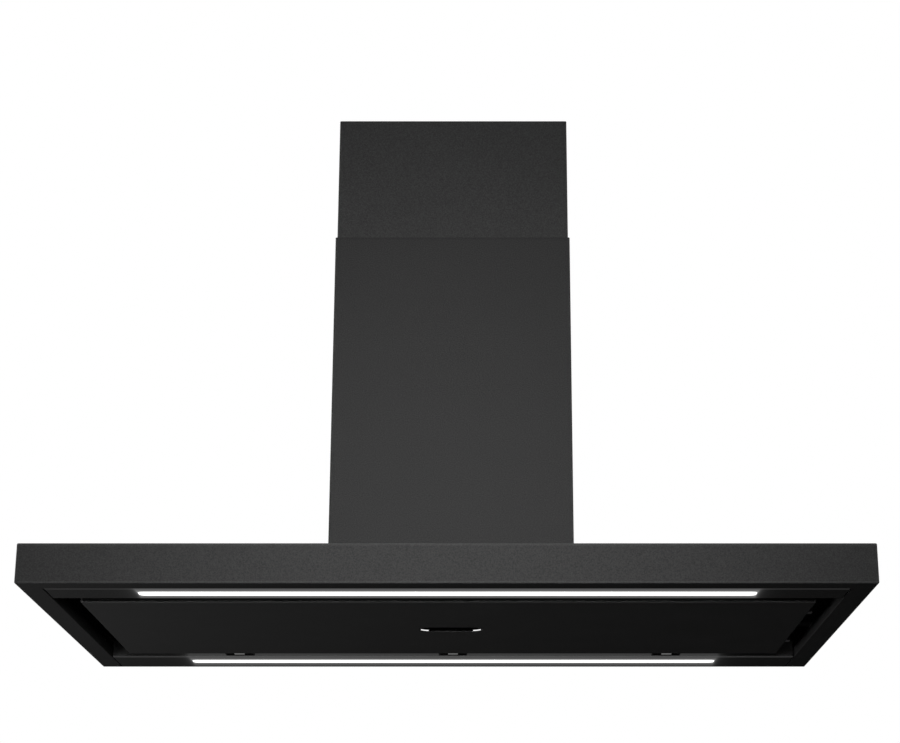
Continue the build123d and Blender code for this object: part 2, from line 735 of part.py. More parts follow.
def motor_mount():
    """A ring round the motor's end and three arms to the scroll's side."""
    face = MOTOR_SPAN[0]
    ring = rod_x(FAN_Y, FAN_Z, MOTOR_R + 3.0, (face - 0.5, face + 8.0))
    ring -= rod_x(FAN_Y, FAN_Z, MOTOR_R, (face - 2.0, face + 10.0))
    half = (-ARM_HALF, ARM_HALF)
    arm = slab(ARM_SPAN, (MOTOR_R + 1.0, ARM_TIP[1]), half)
    arm += slab((ARM_SPAN[0], -SCROLL_HALF), ARM_TIP, half)
    arms = [Pos(0, FAN_Y, FAN_Z) * Rot(angle, 0, 0) * arm for angle in ARM_ANGLES]
    return ring + arms


def outlet_adapter():
    """The transition from the scroll's square outlet to the round collar."""
    low = SCROLL_OUTLET
    high = BOX_TOP - 3.0
    left = scroll_face(0, SCROLL_OUTLET).bounding_box()
    throat_back = left.max.X
    throat_front = FAN_Y + tongue_offset()
    middle = (throat_front + throat_back) / 2
    depth = throat_back - throat_front
    width = 2 * (SCROLL_HALF - SCROLL_WALL)

    def duct(extra):
        square = Pos(0, middle, low) * Rectangle(width + 2 * extra, depth + 2 * extra)
        circle = Pos(0, COLLAR_Y, high) * Circle(COLLAR_R - 4.0 + extra)
        return loft([square, circle])

    adapter = duct(SCROLL_WALL) - duct(0)
    plate = Pos(0, COLLAR_Y, high) * RectangleRounded(ADAPTER_PLATE, ADAPTER_PLATE, 8.0)
    flange = extrude(plate, amount=2.0) - rod_z(0, COLLAR_Y, COLLAR_R - 4.0, (high - 1, high + 3))
    return adapter + flange


def tongue_offset():
    """How far the volute's tongue lies behind the fan's axis."""
    face = scroll_face(0, SCROLL_OUTLET)
    top_edge = face.edges().sort_by(Axis.Y)[-1]
    return top_edge.bounding_box().min.X - FAN_Y


def duct_collar():
    """The round spigot on the box, with the lip on which the flaps rest."""
    collar = rod_z(0, COLLAR_Y, COLLAR_R, (BOX_TOP, COLLAR_TOP))
    collar += rod_z(0, COLLAR_Y, COLLAR_FLANGE_R, (BOX_TOP, BOX_TOP + 1.5))
    bore = COLLAR_R - COLLAR_WALL
    collar -= rod_z(0, COLLAR_Y, bore, (BOX_TOP - 1, COLLAR_TOP + 1))
    stop = FLAP_Z - FLAP_THICK / 2 - 0.3
    lip = rod_z(0, COLLAR_Y, bore + 0.5, (stop - 1.5, stop)) - rod_z(
        0, COLLAR_Y, bore - 4.0, (stop - 2, stop + 1)
    )
    lip -= slab((-COLLAR_R, COLLAR_R), around(COLLAR_Y, 5.0), (stop - 2, stop + 1))
    collar += lip
    return collar - rod_x(COLLAR_Y, FLAP_Z, WIRE_R, (-COLLAR_R, COLLAR_R))


def flap_hinge_wire():
    """The wire across the collar on which both flaps turn."""
    return rod_x(COLLAR_Y, FLAP_Z, WIRE_R, (0.2 - COLLAR_R, COLLAR_R - 0.2))


def flap(side):
    """A half-round flap with its share of the knuckles: side -1 is the front one."""
    edge = KNUCKLE_R + 0.6
    half_thick = FLAP_THICK / 2
    disc = rod_z(0, COLLAR_Y, FLAP_R, around(FLAP_Z, half_thick))
    y_span = sorted((COLLAR_Y + side * edge, COLLAR_Y + side * COLLAR_R))
    plate = disc & slab((-COLLAR_R, COLLAR_R), y_span, around(FLAP_Z, 2.0))
    for span in KNUCKLES:
        x_span = span if side < 0 else (-span[1], -span[0])
        tab_y = sorted((COLLAR_Y, COLLAR_Y + side * (edge + 0.5)))
        plate += rod_x(COLLAR_Y, FLAP_Z, KNUCKLE_R, x_span)
        plate += slab(x_span, tab_y, around(FLAP_Z, half_thick))
    return plate - rod_x(COLLAR_Y, FLAP_Z, WIRE_R + RUNNING, (-COLLAR_R, COLLAR_R))


# Electrics


def control_box():
    """An open-topped plastic box on the blower box."""
    box = slab(CONTROL_X, CONTROL_Y, (BOX_TOP, CONTROL_TOP))
    box = fillet(box.edges().filter_by(Axis.Z), 3.0)
    wall = CONTROL_WALL
    inside_x = (CONTROL_X[0] + wall, CONTROL_X[1] - wall)
    inside_y = (CONTROL_Y[0] + wall, CONTROL_Y[1] - wall)
    return box - slab(inside_x, inside_y, (BOX_TOP + wall, CONTROL_TOP + wall))


def control_box_cover():
    """The lid, with a hole for the gland."""
    lid = slab(CONTROL_X, CONTROL_Y, (CONTROL_TOP, CONTROL_TOP + CONTROL_WALL))
    lid = fillet(lid.edges().filter_by(Axis.Z), 3.0)
    return lid - rod_z(GLAND_X, GLAND_Y, GLAND_STEM_R, around(CONTROL_TOP, 5.0))


def control_board():
    """The circuit board with its relays and terminal block."""
    floor = BOX_TOP + CONTROL_WALL
    bottom = floor + BOARD_LIFT
    top = bottom + BOARD_THICK
    board = slab(BOARD_X, BOARD_Y, (bottom, top))
    for x in (BOARD_X[0] + 4.0, BOARD_X[1] - 4.0):
        for y in (BOARD_Y[0] + 5.0, BOARD_Y[1] - 5.0):
            board += rod_z(x, y, 2.5, (floor, bottom))
    for y in RELAY_Y:
        board += slab(RELAY_X, around(y, 10.0), (top, top + 15.4))
    return board + slab(TERMINAL_X, TERMINAL_Y, (top, top + 10.0))


def cable_gland():
    """The cable inlet: a threaded stem, a hexagon and a domed nut."""
    lid = CONTROL_TOP + CONTROL_WALL
    gland = Pos(GLAND_X, GLAND_Y, lid) * extrude(RegularPolygon(GLAND_R + 1.5, 6), amount=6.0)
    gland += rod_z(GLAND_X, GLAND_Y, GLAND_R, (lid + 6.0, lid + 18.0))
    gland = fillet(gland.edges().group_by(Axis.Z)[-1], 3.0)
    gland += rod_z(GLAND_X, GLAND_Y, GLAND_STEM_R, (lid - 8.0, lid))
    return gland - rod_z(GLAND_X, GLAND_Y, GLAND_BORE_R, around(lid, 30.0))


def run_capacitor():
    """The motor's capacitor, a can with two tags."""
    can = rod_y(CAN_X, CAN_Z, CAN_R, CAN_Y)
    can = fillet(can.edges().sort_by(Axis.Y)[-1], 2.0)
    for x in (CAN_X - 5.0, CAN_X + 5.0):
        can += slab(around(x, 2.0), (CAN_Y[0] - 8.0, CAN_Y[0]), around(CAN_Z, 0.5))
    return can


def capacitor_clip():
    """The strap that holds the capacitor down."""
    strap = rod_y(CAN_X, CAN_Z, CAN_R + GAUGE, STRAP_Y)
    strap += slab(around(CAN_X, STRAP_FOOT), STRAP_Y, (BOX_TOP, BOX_TOP + 1.5))
    strap += slab(around(CAN_X, CAN_R + GAUGE), STRAP_Y, (BOX_TOP, CAN_Z))
    strap -= rod_y(CAN_X, CAN_Z, CAN_R, CAN_Y)
    return strap - slab(around(CAN_X, CAN_R), CAN_Y, (BOX_TOP - GAUGE, CAN_Z))


def led_driver():
    """The lamps' power supply, under the canopy's top plate."""
    top = CANOPY_TOP - GAUGE
    driver = slab(DRIVER_X, DRIVER_Y, (DRIVER_BOTTOM, top))
    driver = fillet(driver.edges().filter_by(Axis.Z), 4.0)
    middle = sum(DRIVER_Y) / 2
    for end, outward in zip(DRIVER_X, (-1, 1)):
        ear_x = sorted((end, end + outward * DRIVER_EAR))
        ear = slab(ear_x, around(middle, 12.0), (top - 2.0, top))
        driver += ear - rod_z(end + outward * DRIVER_EAR / 2, middle, SHANK_R, around(top, 5.0))
    return driver


# Chimney


def cover_section(half, y_span, hem):
    """The plan of a chimney cover: a front, two sides and two hems at the back."""
    depth = y_span[1] - y_span[0]
    middle = Pos(0, sum(y_span) / 2)
    outer = middle * Rectangle(2 * half, depth)
    outer = fillet(outer.vertices().group_by(Axis.Y)[0], 2 * GAUGE)
    inner = middle * Rectangle(2 * (half - GAUGE), depth - 2 * GAUGE)
    inner = fillet(inner.vertices().group_by(Axis.Y)[0], GAUGE)
    gap = Pos(0, y_span[1] - GAUGE / 2) * Rectangle(2 * (half - hem), GAUGE)
    return outer - inner - gap


def lower_chimney():
    """The lower cover, with feet that are screwed to the canopy."""
    section = cover_section(LOWER_HALF, (LOWER_FRONT, WALL), LOWER_HEM)
    cover = extrude(Pos(0, 0, CANOPY_TOP) * section, amount=LOWER_TOP - CANOPY_TOP)
    for side in (-1, 1):
        inner = LOWER_HALF - GAUGE
        x_span = sorted((side * inner, side * (inner - FOOT_WIDTH)))
        cover += slab(x_span, FOOT_Y, (CANOPY_TOP, CANOPY_TOP + GAUGE))
    return cover


def chimney_screws():
    """Four screws through the lower cover's feet."""
    screws = []
    top = CANOPY_TOP + GAUGE
    for x in (-FOOT_SCREW_X, FOOT_SCREW_X):
        for y in FOOT_SCREW_Y:
            head = rod_z(x, y, HEAD_R, (top, top + HEAD_H))
            screws.append(head + rod_z(x, y, SHANK_R, (top - 6.0, top)))
    return screws


def drilled_for_chimney_screws(shape):
    """The shape with holes for the lower cover's screws."""
    for x in (-FOOT_SCREW_X, FOOT_SCREW_X):
        for y in FOOT_SCREW_Y:
            shape -= rod_z(x, y, SCREW_HOLE_R, around(CANOPY_TOP, 3 * GAUGE))
    return shape


def upper_chimney():
    """The telescopic cover, with outlet slots in its sides."""
    section = cover_section(UPPER_HALF, (UPPER_FRONT, UPPER_BACK), HEM)
    cover = extrude(Pos(0, 0, UPPER_BOTTOM) * section, amount=UPPER_TOP - UPPER_BOTTOM)
    reach = UPPER_HALF - GAUGE
    cover -= slab((-reach, reach), (-20.0, UPPER_BACK + 1), (UPPER_TOP - 60.0, UPPER_TOP + 1))
    for side in (-1, 1):
        wall = sorted((side * (UPPER_HALF - 3), side * (UPPER_HALF + 3)))
        for index in range(OUTLET_COUNT):
            place = Plane.YZ.offset(wall[0]) * Pos(OUTLET_Y, OUTLET_Z + index * OUTLET_PITCH)
            cover -= extrude(place * SlotOverall(OUTLET_LENGTH, OUTLET_WIDTH), amount=6.0)
        cover -= rod_x(*SIDE_SCREW, SCREW_HOLE_R, wall)
    return cover


def upper_wall_bracket():
    """The wall strip with bent ears that the upper cover is screwed to."""
    half = UPPER_HALF - GAUGE
    gauge = BRACKET_GAUGE
    z_span = (BRACKET_BOTTOM, BRACKET_TOP)
    middle = sum(z_span) / 2
    bracket = slab((-half, half), (-BRACKET_DEPTH, WALL), z_span)
    inside_y = (-BRACKET_DEPTH - 1.0, WALL - gauge)
    bracket -= slab((gauge - half, half - gauge), inside_y, around(middle, 20.0))
    for side in (-1, 1):
        bracket -= slot_through_y(side * BRACKET_SLOT_X, middle, 30.0, 6.0, around(WALL, 3.0))
        ear = sorted((side * (half - 3), side * (half + 1)))
        bracket -= rod_x(*SIDE_SCREW, SCREW_HOLE_R, ear)
    return bracket


def bracket_screws():
    """The two side screws of the upper cover."""
    screws = []
    for side in (-1, 1):
        face = side * UPPER_HALF
        head = sorted((face, face + side * HEAD_H))
        shank = sorted((face - side * 6.0, face))
        screws.append(rod_x(*SIDE_SCREW, HEAD_R, head) + rod_x(*SIDE_SCREW, SHANK_R, shank))
    return screws


def save(node, shape):
    """Write one node, which is a solid or a list of separate solids."""
    pieces = shape if isinstance(shape, list) else [shape]
    solids = [solid for piece in pieces for solid in piece.solids()]
    result = solids[0] if len(solids) == 1 else Compound(children=solids)
    result.label = node
    export_step(result, f"parts/{node}.step")


def main():
    """Build every node."""
    os.makedirs("parts", exist_ok=True)
    canopy = drilled_for_chimney_screws(drilled_for_bar_screws(canopy_shell()))
    save("canopy_shell", canopy)
    save("front_light_bar", drilled_for_bar_screws(light_bar(FRONT_BAR, FRONT_LED_Y)))
    save("rear_light_bar", drilled_for_bar_screws(light_bar(REAR_BAR, REAR_LED_Y)))
    save("bar_screws", bar_screws())
    for name, led_y in (("front", FRONT_LED_Y), ("rear", REAR_LED_Y)):
        save(f"{name}_led_diffuser", led_diffuser(led_y))
        save(f"{name}_led_channel", led_channel(led_y))
        save(f"{name}_led_board", led_board(led_y))
    save("led_end_caps", led_end_caps())

    save("filter_bay_frame", filter_bay_frame())
    for name, side in (("left", -1), ("centre", 0), ("right", 1)):
        save(f"{name}_filter_frame", filter_frame(side * FILTER_PITCH))
        save(f"{name}_filter_mesh", filter_mesh(side * FILTER_PITCH))
        save(f"{name}_filter_latch", filter_latch(side * FILTER_PITCH))
    save("hinge_brackets", [hinge_bracket(x) for x in HINGE_PLACES])
    save("hinge_leaves", [hinge_leaf(x) for x in HINGE_PLACES])
    save("hinge_pins", hinge_pins())

    save("perimeter_panel", perimeter_panel())
    save("finger_cup", finger_cup())
    save("cup_tabs", cup_tabs())
    save("panel_stiffeners", panel_stiffeners())
    save("strike_plates", strike_plates())
    save("catch_magnets", catch_magnets())
    save("edge_clips", edge_clips())

    save("blower_box", blower_box())
    save("blower_box_cover", blower_box_cover())
    save("cover_screws", cover_screws())
    save("scroll_left", scroll_half(-1))
    save("scroll_right", scroll_half(1))
    save("outlet_adapter", outlet_adapter())
    save("impeller", impeller())
    save("fan_shaft", fan_shaft())
    save("hub_nut", hub_nut())
    save("fan_motor", fan_motor())
    save("motor_mount", motor_mount())
    save("duct_collar", duct_collar())
    save("flap_hinge_wire", flap_hinge_wire())
    save("front_flap", flap(-1))
    save("rear_flap", flap(1))

    save("control_box", control_box())
    save("control_box_cover", control_box_cover())
    save("control_board", control_board())
    save("cable_gland", cable_gland())
    save("run_capacitor", run_capacitor())
    save("capacitor_clip", capacitor_clip())
    save("led_driver", led_driver())

    save("lower_chimney", drilled_for_chimney_screws(lower_chimney()))
    save("chimney_screws", chimney_screws())
    save("upper_chimney", upper_chimney())
    save("upper_wall_bracket", upper_wall_bracket())
    save("bracket_screws", bracket_screws())


main()
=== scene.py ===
"""Looks of the chimney range hood: finishes, refined pieces, studio and camera, in metres."""

import json
import logging
import math
from abc import ABC, abstractmethod
from dataclasses import dataclass, field
from enum import Enum
from typing import Callable

import bmesh
import bpy
from mathutils import Matrix, Vector

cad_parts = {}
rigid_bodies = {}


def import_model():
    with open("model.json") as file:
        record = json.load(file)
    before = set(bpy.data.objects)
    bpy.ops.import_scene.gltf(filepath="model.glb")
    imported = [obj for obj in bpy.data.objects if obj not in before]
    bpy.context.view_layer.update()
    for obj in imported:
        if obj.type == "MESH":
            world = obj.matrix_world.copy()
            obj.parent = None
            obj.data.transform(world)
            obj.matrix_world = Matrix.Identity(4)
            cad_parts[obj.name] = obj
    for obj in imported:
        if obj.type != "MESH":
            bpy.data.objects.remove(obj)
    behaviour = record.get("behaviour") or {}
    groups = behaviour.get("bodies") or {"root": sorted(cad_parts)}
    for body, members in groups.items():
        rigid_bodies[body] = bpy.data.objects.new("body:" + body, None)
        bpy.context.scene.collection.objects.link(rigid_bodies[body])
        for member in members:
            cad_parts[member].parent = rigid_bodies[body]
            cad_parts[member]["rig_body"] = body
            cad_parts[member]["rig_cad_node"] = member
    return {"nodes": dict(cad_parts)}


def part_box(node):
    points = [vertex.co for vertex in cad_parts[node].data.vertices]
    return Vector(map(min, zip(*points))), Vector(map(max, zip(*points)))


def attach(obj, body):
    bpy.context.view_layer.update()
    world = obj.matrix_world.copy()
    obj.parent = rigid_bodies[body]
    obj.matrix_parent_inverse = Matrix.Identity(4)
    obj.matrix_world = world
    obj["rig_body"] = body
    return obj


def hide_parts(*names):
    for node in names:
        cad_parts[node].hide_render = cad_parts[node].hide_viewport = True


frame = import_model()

LOG = logging.getLogger("range_hood")
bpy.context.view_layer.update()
MM = 0.001
DEEP, UP = 1, 2  # where Y and Z stand among a piece's axes
Colour = tuple[float, float, float]
Place = tuple[float, float, float]
Sockets = dict[int | str, object]


# Shader maths


class Value:
    """One output of a shader node, on which sums are written as Python expressions."""

    def __init__(self, shader: "Shader", node: bpy.types.Node, output: int | str) -> None:
        """Wrap an output.

        Args:
            shader: The material that holds the node.
            node: The node.
            output: The output's name or number.
        """
        self.shader = shader
        self.node = node
        self.socket = node.outputs[output] if len(node.outputs) else None

    def other(self, output: int | str) -> "Value":
        """Return another output of the same node."""
        return Value(self.shader, self.node, output)

    def _math(self, operation: str, first: "Number", second: "Number" = 0.0) -> "Value":
        """Return the result of a Math node."""
        return self.shader.add("ShaderNodeMath", {"operation": operation}, {0: first, 1: second})

    def __add__(self, other: "Number") -> "Value":
        """Return self + other."""
        return self._math("ADD", self, other)

    def __radd__(self, other: "Number") -> "Value":
        """Return other + self."""
        return self._math("ADD", other, self)

    def __sub__(self, other: "Number") -> "Value":
        """Return self - other."""
        return self._math("SUBTRACT", self, other)

    def __rsub__(self, other: "Number") -> "Value":
        """Return other - self."""
        return self._math("SUBTRACT", other, self)

    def __mul__(self, other: "Number") -> "Value":
        """Return self * other."""
        return self._math("MULTIPLY", self, other)

    def __rmul__(self, other: "Number") -> "Value":
        """Return other * self."""
        return self._math("MULTIPLY", other, self)

    def __truediv__(self, other: "Number") -> "Value":
        """Return self / other."""
        return self._math("DIVIDE", self, other)

    def __pow__(self, other: "Number") -> "Value":
        """Return self to the power of other."""
        return self._math("POWER", self, other)

    def __abs__(self) -> "Value":
        """Return the absolute value."""
        return self._math("ABSOLUTE", self)

    def above(self, level: "Number") -> "Value":
        """Return 1 where the value is over the level and 0 elsewhere."""
        return self._math("GREATER_THAN", self, level)

    def at_least(self, level: "Number") -> "Value":
        """Return the value, raised to the level where it is lower."""
        return self._math("MAXIMUM", self, level)

    def at_most(self, level: "Number") -> "Value":
        """Return the value, lowered to the level where it is higher."""
        return self._math("MINIMUM", self, level)


Number = Value | float


class Shader:
    """A material, or the world, whose nodes are added one by one."""

    def __init__(self, holder: bpy.types.Material | bpy.types.World) -> None:
        """Empty the holder's node tree.

        Args:
            holder: The material or world.
        """
        self.holder = holder
        holder.use_nodes = True
        self.tree = holder.node_tree
        self.tree.nodes.clear()

    @classmethod
    def named(cls, name: str) -> "Shader":
        """Return the shader of a new material."""
        return cls(bpy.data.materials.new(name))

    def add(
        self,
        kind: str,
        settings: dict[str, object] | None = None,
        inputs: Sockets | None = None,
        output: int | str = 0,
    ) -> Value:
        """Add a node, set it, and give its sockets their values or links.

        Args:
            kind: The node's type.
            settings: The node's own properties.
            inputs: A value or a Value for each socket, by name or number.
            output: The output that is returned.

        Returns:
            The chosen output.
        """
        node = self.tree.nodes.new(kind)
        for key, setting in (settings or {}).items():
            setattr(node, key, setting)
        for key, given in (inputs or {}).items():
            if isinstance(given, Value):
                self.tree.links.new(given.socket, node.inputs[key])
            else:
                node.inputs[key].default_value = given
        return Value(self, node, output)

    def place(self, stretch: Place = (1.0, 1.0, 1.0)) -> Value:
        """Return the piece's own coordinates in metres, stretched along each axis."""
        here = self.add("ShaderNodeTexCoord", output="Object")
        return self.add("ShaderNodeMapping", {}, {"Vector": here, "Scale": stretch})

    def axes(self) -> tuple[Value, Value, Value]:
        """Return the piece's own X, Y and Z in metres."""
        across = self.add("ShaderNodeSeparateXYZ", {}, {0: self.place()}, "X")
        return across, across.other("Y"), across.other("Z")

    def noise(self, where: Value, scale: float, detail: float = 2.0) -> Value:
        """Return smooth noise from 0 to 1 with so many cells a metre."""
        inputs = {"Vector": where, "Scale": scale, "Detail": detail}
        return self.add("ShaderNodeTexNoise", {}, inputs)

    def cells(self, where: Value, scale: float, output: str) -> Value:
        """Return a Voronoi pattern with so many cells a metre."""
        return self.add("ShaderNodeTexVoronoi", {}, {"Vector": where, "Scale": scale}, output)

    def seen(self, gloss: float) -> Value:
        """Return how much of a pale background a ray sees.

        Args:
            gloss: The share that is seen in a gloss or through glass.

        Returns:
            1 for the camera's own rays, the share for gloss and glass, and 0 for the rest.
        """
        path = self.add("ShaderNodeLightPath", output="Is Camera Ray")
        indirect = path.other("Is Glossy Ray").at_least(path.other("Is Transmission Ray"))
        return path.at_least(gloss * indirect)

    def blend(self, amount: Number, first: "Colour | Value", second: "Colour | Value") -> Value:
        """Mix two colours.

        Args:
            amount: 0 for the first colour alone, 1 for the second.
            first: The first colour.
            second: The second colour.

        Returns:
            The mixed colour.
        """
        ends = [end if isinstance(end, Value) else (*end, 1.0) for end in (first, second)]
        return self.add(
            "ShaderNodeMix", {"data_type": "RGBA"}, {0: amount, 6: ends[0], 7: ends[1]}, 2
        )

    def shades(self, tone: Colour, amount: Value, darkest: float, palest: float) -> Value:
        """Return a tone between a darker and a paler form of itself."""
        return self.blend(amount, scaled(tone, darkest), scaled(tone, palest))

    def bump(self, height: Value, depth: float, strength: float) -> Value:
        """Return a normal that is tilted by a height from 0 to 1."""
        inputs = {"Height": height, "Distance": depth, "Strength": strength}
        return self.add("ShaderNodeBump", {}, inputs)

    def surface(self, inputs: Sockets) -> bpy.types.Material:
        """Finish the material with a Principled surface.

        Args:
            inputs: The surface's sockets.

        Returns:
            The material.
        """
        body = self.add("ShaderNodeBsdfPrincipled", {}, inputs)
        self.add("ShaderNodeOutputMaterial", {}, {"Surface": body})
        return self.holder


def grey(level: float) -> Colour:
    """Return a neutral linear colour."""
    return (level, level, level)


def scaled(colour: Colour, factor: float) -> Colour:
    """Return a colour made lighter or darker."""
    return tuple(part * factor for part in colour)


def around(middle: float, swing: float, value: Value) -> Value:
    """Return a number that swings round a middle as the value goes from 0 to 1."""
    return middle - swing / 2 + swing * value


# Finishes


@dataclass(frozen=True)
class PaintedLine:
    """A thin line of painted light along a fold or an edge: a painted highlight where the gain is
    above zero, painted shade where it is below.

    Attributes:
        place: The line's middle, along the axis that crosses it.
        reach: The distance over which it fades, on each side.
        gain: What the painted line adds to the coat's tone in its middle, below zero for painted
            shade.
        axis: The axis that crosses it.
    """

    place: float
    reach: float
    gain: float
    axis: int = UP

    def light(self, shader: Shader) -> Value:
        """Return what the painted line adds to the coat's tone, from its middle outwards."""
        away = abs(shader.axes()[self.axis] - self.place) / self.reach
        return self.gain * (1.0 - away).at_least(0.0)


@dataclass(frozen=True)
class PaintedGlow:
    """A painted glow: emission on the sheet beside a lit strip, standing in for the soft light
    that the strip throws there.

    Attributes:
        middle_y: The strip's middle line.
        half_length: Half the strip's length.
        half_width: Half its width.
        fold: The painted highlight along the sheet's folded edge.
        fold_top: The height up to which that line shows.
        reach: The distance that sets how softly the painted glow fades.
        level: The painted glow's strength right beside the strip.
        fade: The power with which it fades.
        end_loss: How many times faster it fades past the strip's ends.
    """

    middle_y: float
    half_length: float
    half_width: float
    fold: PaintedLine
    fold_top: float = 1.1 * MM
    reach: float = 12.0 * MM
    level: float = 0.25
    fade: float = -1.7
    end_loss: float = 9.0

    def emission(self, shader: Shader) -> Value:
        """Return the painted glow's strength over the sheet.

        Args:
            shader: The sheet's material.

        Returns:
            A number that fades with the distance from the strip, fastest past its ends,
            and rises along the sheet's folded edge as a painted highlight.
        """
        across, along, up = shader.axes()
        beyond_end = self.end_loss * (abs(across) - self.half_length).at_least(0.0)
        beyond_side = (abs(along - self.middle_y) - self.half_width).at_least(0.0)
        distance = (beyond_end * beyond_end + beyond_side * beyond_side) ** 0.5
        # painted light that fades away from the strip, plus a painted highlight on the fold
        painted_halo = self.level * (1.0 + distance / self.reach) ** self.fade
        return painted_halo + (1.0 - up.above(self.fold_top)) * self.fold.light(shader)


@dataclass(frozen=True)
class Finish(ABC):
    """A named material, whose surface each kind of finish sets."""

    name: str

    @abstractmethod
    def sockets(self, shader: Shader) -> Sockets:
        """Work out the surface.

        Args:
            shader: The new material.

        Returns:
            What each socket of the surface gets.
        """

    def make(self) -> bpy.types.Material:
        """Return the material."""
        shader = Shader.named(self.name)
        return shader.surface(self.sockets(shader))


@dataclass(frozen=True)
class PowderCoat(Finish):
    """A matte powder coat with a fine pebbled texture, optional painted highlight and shade
    lines, and an optional painted glow.
    """

    tone: Colour
    lines: tuple[PaintedLine, ...] = ()
    glow: PaintedGlow | None = None
    grain: float = 1.3 * MM
    mottle: float = 1.2
    darkest: float = 0.5
    palest: float = 1.5
    drift_scale: float = 14.0
    drift_share: float = 0.1
    fleck_density: float = 0.62
    fleck_share: float = 0.35
    roughness: float = 0.68
    swing: float = 0.16
    specular: float = 0.05
    bump_depth: float = 0.16 * MM
    bump_strength: float = 0.7

    def sockets(self, shader: Shader) -> Sockets:
        """Mix the coat's pebbles, slow drift and flecks, its painted highlight and shade lines
        and its painted glow.

        Args:
            shader: The new material.

        Returns:
            What each socket of the surface gets.
        """
        where = shader.place()
        pebbles = shader.noise(where, 1.0 / self.grain, detail=3.0)
        drift = shader.noise(where, self.drift_scale, detail=1.0)
        flecks = shader.cells(where, self.fleck_density / self.grain, "Distance")
        light = 0.5 + self.mottle * (pebbles - 0.5) + self.drift_share * (drift - 0.5)
        # painted highlights and painted shade along folds and edges
        for line in self.lines:
            light = light + line.light(shader)
        height = (1.0 - self.fleck_share) * pebbles + self.fleck_share * flecks
        inputs = {
            "Base Color": shader.shades(self.tone, light, self.darkest, self.palest),
            "Roughness": around(self.roughness, self.swing, drift),
            "Specular IOR Level": self.specular,
            "Normal": shader.bump(height, self.bump_depth, self.bump_strength),
        }
        # a painted glow as emission beside a lit strip
        if self.glow:
            strength = self.glow.emission(shader)
            inputs["Emission Color"] = shader.blend(strength, grey(0.0), grey(1.0))
            inputs["Emission Strength"] = 1.0
        return inputs


@dataclass(frozen=True)
class OpalStrip(Finish):
    """A lit opal diffuser."""

    middle_y: float
    half_width: float
    tone: Colour = (0.86, 0.88, 0.9)
    lamp_tone: Colour = (1.0, 0.995, 0.985)
    strength: float = 1.35
    edge_loss: float = 0.16
    edge_power: float = 6.0
    roughness: float = 0.35

    def sockets(self, shader: Shader) -> Sockets:
        """Light the diffuser, a little less along its two edges.

        Args:
            shader: The new material.

        Returns:
            What each socket of the surface gets.
        """
        _, along, _ = shader.axes()
        edge = abs(along - self.middle_y) / self.half_width
        light = 1.0 - self.edge_loss * edge ** self.edge_power
        return {
            "Base Color": (*self.tone, 1.0),
            "Roughness": self.roughness,
            "Emission Color": shader.blend(light, grey(0.0), self.lamp_tone),
            "Emission Strength": self.strength,
        }


@dataclass(frozen=True)
class GalvanisedSheet(Finish):
    """Zinc-coated sheet with its spangle."""

    name: str = "galvanised_sheet"
    darkest: Colour = (0.26, 0.27, 0.285)
    palest: Colour = (0.44, 0.455, 0.47)
    base: float = 0.25
    spangle: float = 9.0 * MM
    spangle_share: float = 0.45
    frost_scale: float = 420.0
    frost_share: float = 0.3
    metallic: float = 0.7
    roughness: float = 0.56
    swing: float = 0.16
    bump_depth: float = 0.05 * MM
    bump_strength: float = 0.3

    def sockets(self, shader: Shader) -> Sockets:
        """Give each crystal of the zinc its tint and frost.

        Args:
            shader: The new material.

        Returns:
            What each socket of the surface gets.
        """
        where = shader.place()
        crystals = shader.cells(where, 1.0 / self.spangle, "Color")
        tint = shader.add("ShaderNodeSeparateColor", {}, {0: crystals}, 0)
        frost = shader.noise(where, self.frost_scale, detail=3.0)
        light = self.base + self.spangle_share * tint + self.frost_share * frost
        return {
            "Base Color": shader.blend(light, self.darkest, self.palest),
            "Metallic": self.metallic,
            "Roughness": around(self.roughness, self.swing, tint),
            "Normal": shader.bump(frost, self.bump_depth, self.bump_strength),
        }


class Brushing(Enum):
    """The direction in which a metal's fine lines run, as a stretch of its pattern."""

    ALONG_X = (0.02, 1.0, 1.0)
    ALONG_Y = (1.0, 0.02, 1.0)
    NONE = (1.0, 1.0, 1.0)


@dataclass(frozen=True)
class Metal(Finish):
    """A bare or plated metal with fine lines or a soft cloud."""

    tone: Colour
    roughness: float
    brushing: Brushing = Brushing.NONE
    metallic: float = 1.0
    specular: float = 0.5
    base: float = 0.3
    line_scale: float = 900.0
    line_share: float = 0.4
    cloud_scale: float = 35.0
    cloud_share: float = 0.3
    darkest: float = 0.8
    palest: float = 1.15
    swing: float = 0.16
    bump_depth: float = 0.03 * MM
    bump_strength: float = 0.35

    def sockets(self, shader: Shader) -> Sockets:
        """Lay fine lines over a soft cloud.

        Args:
            shader: The new material.

        Returns:
            What each socket of the surface gets.
        """
        where = shader.place(self.brushing.value)
        fine = shader.noise(where, self.line_scale, detail=3.0)
        cloud = shader.noise(shader.place(), self.cloud_scale)
        light = self.base + self.line_share * fine + self.cloud_share * cloud
        return {
            "Base Color": shader.shades(self.tone, light, self.darkest, self.palest),
            "Metallic": self.metallic,
            "Specular IOR Level": self.specular,
            "Roughness": around(self.roughness, self.swing, fine),
            "Normal": shader.bump(fine, self.bump_depth, self.bump_strength),
        }


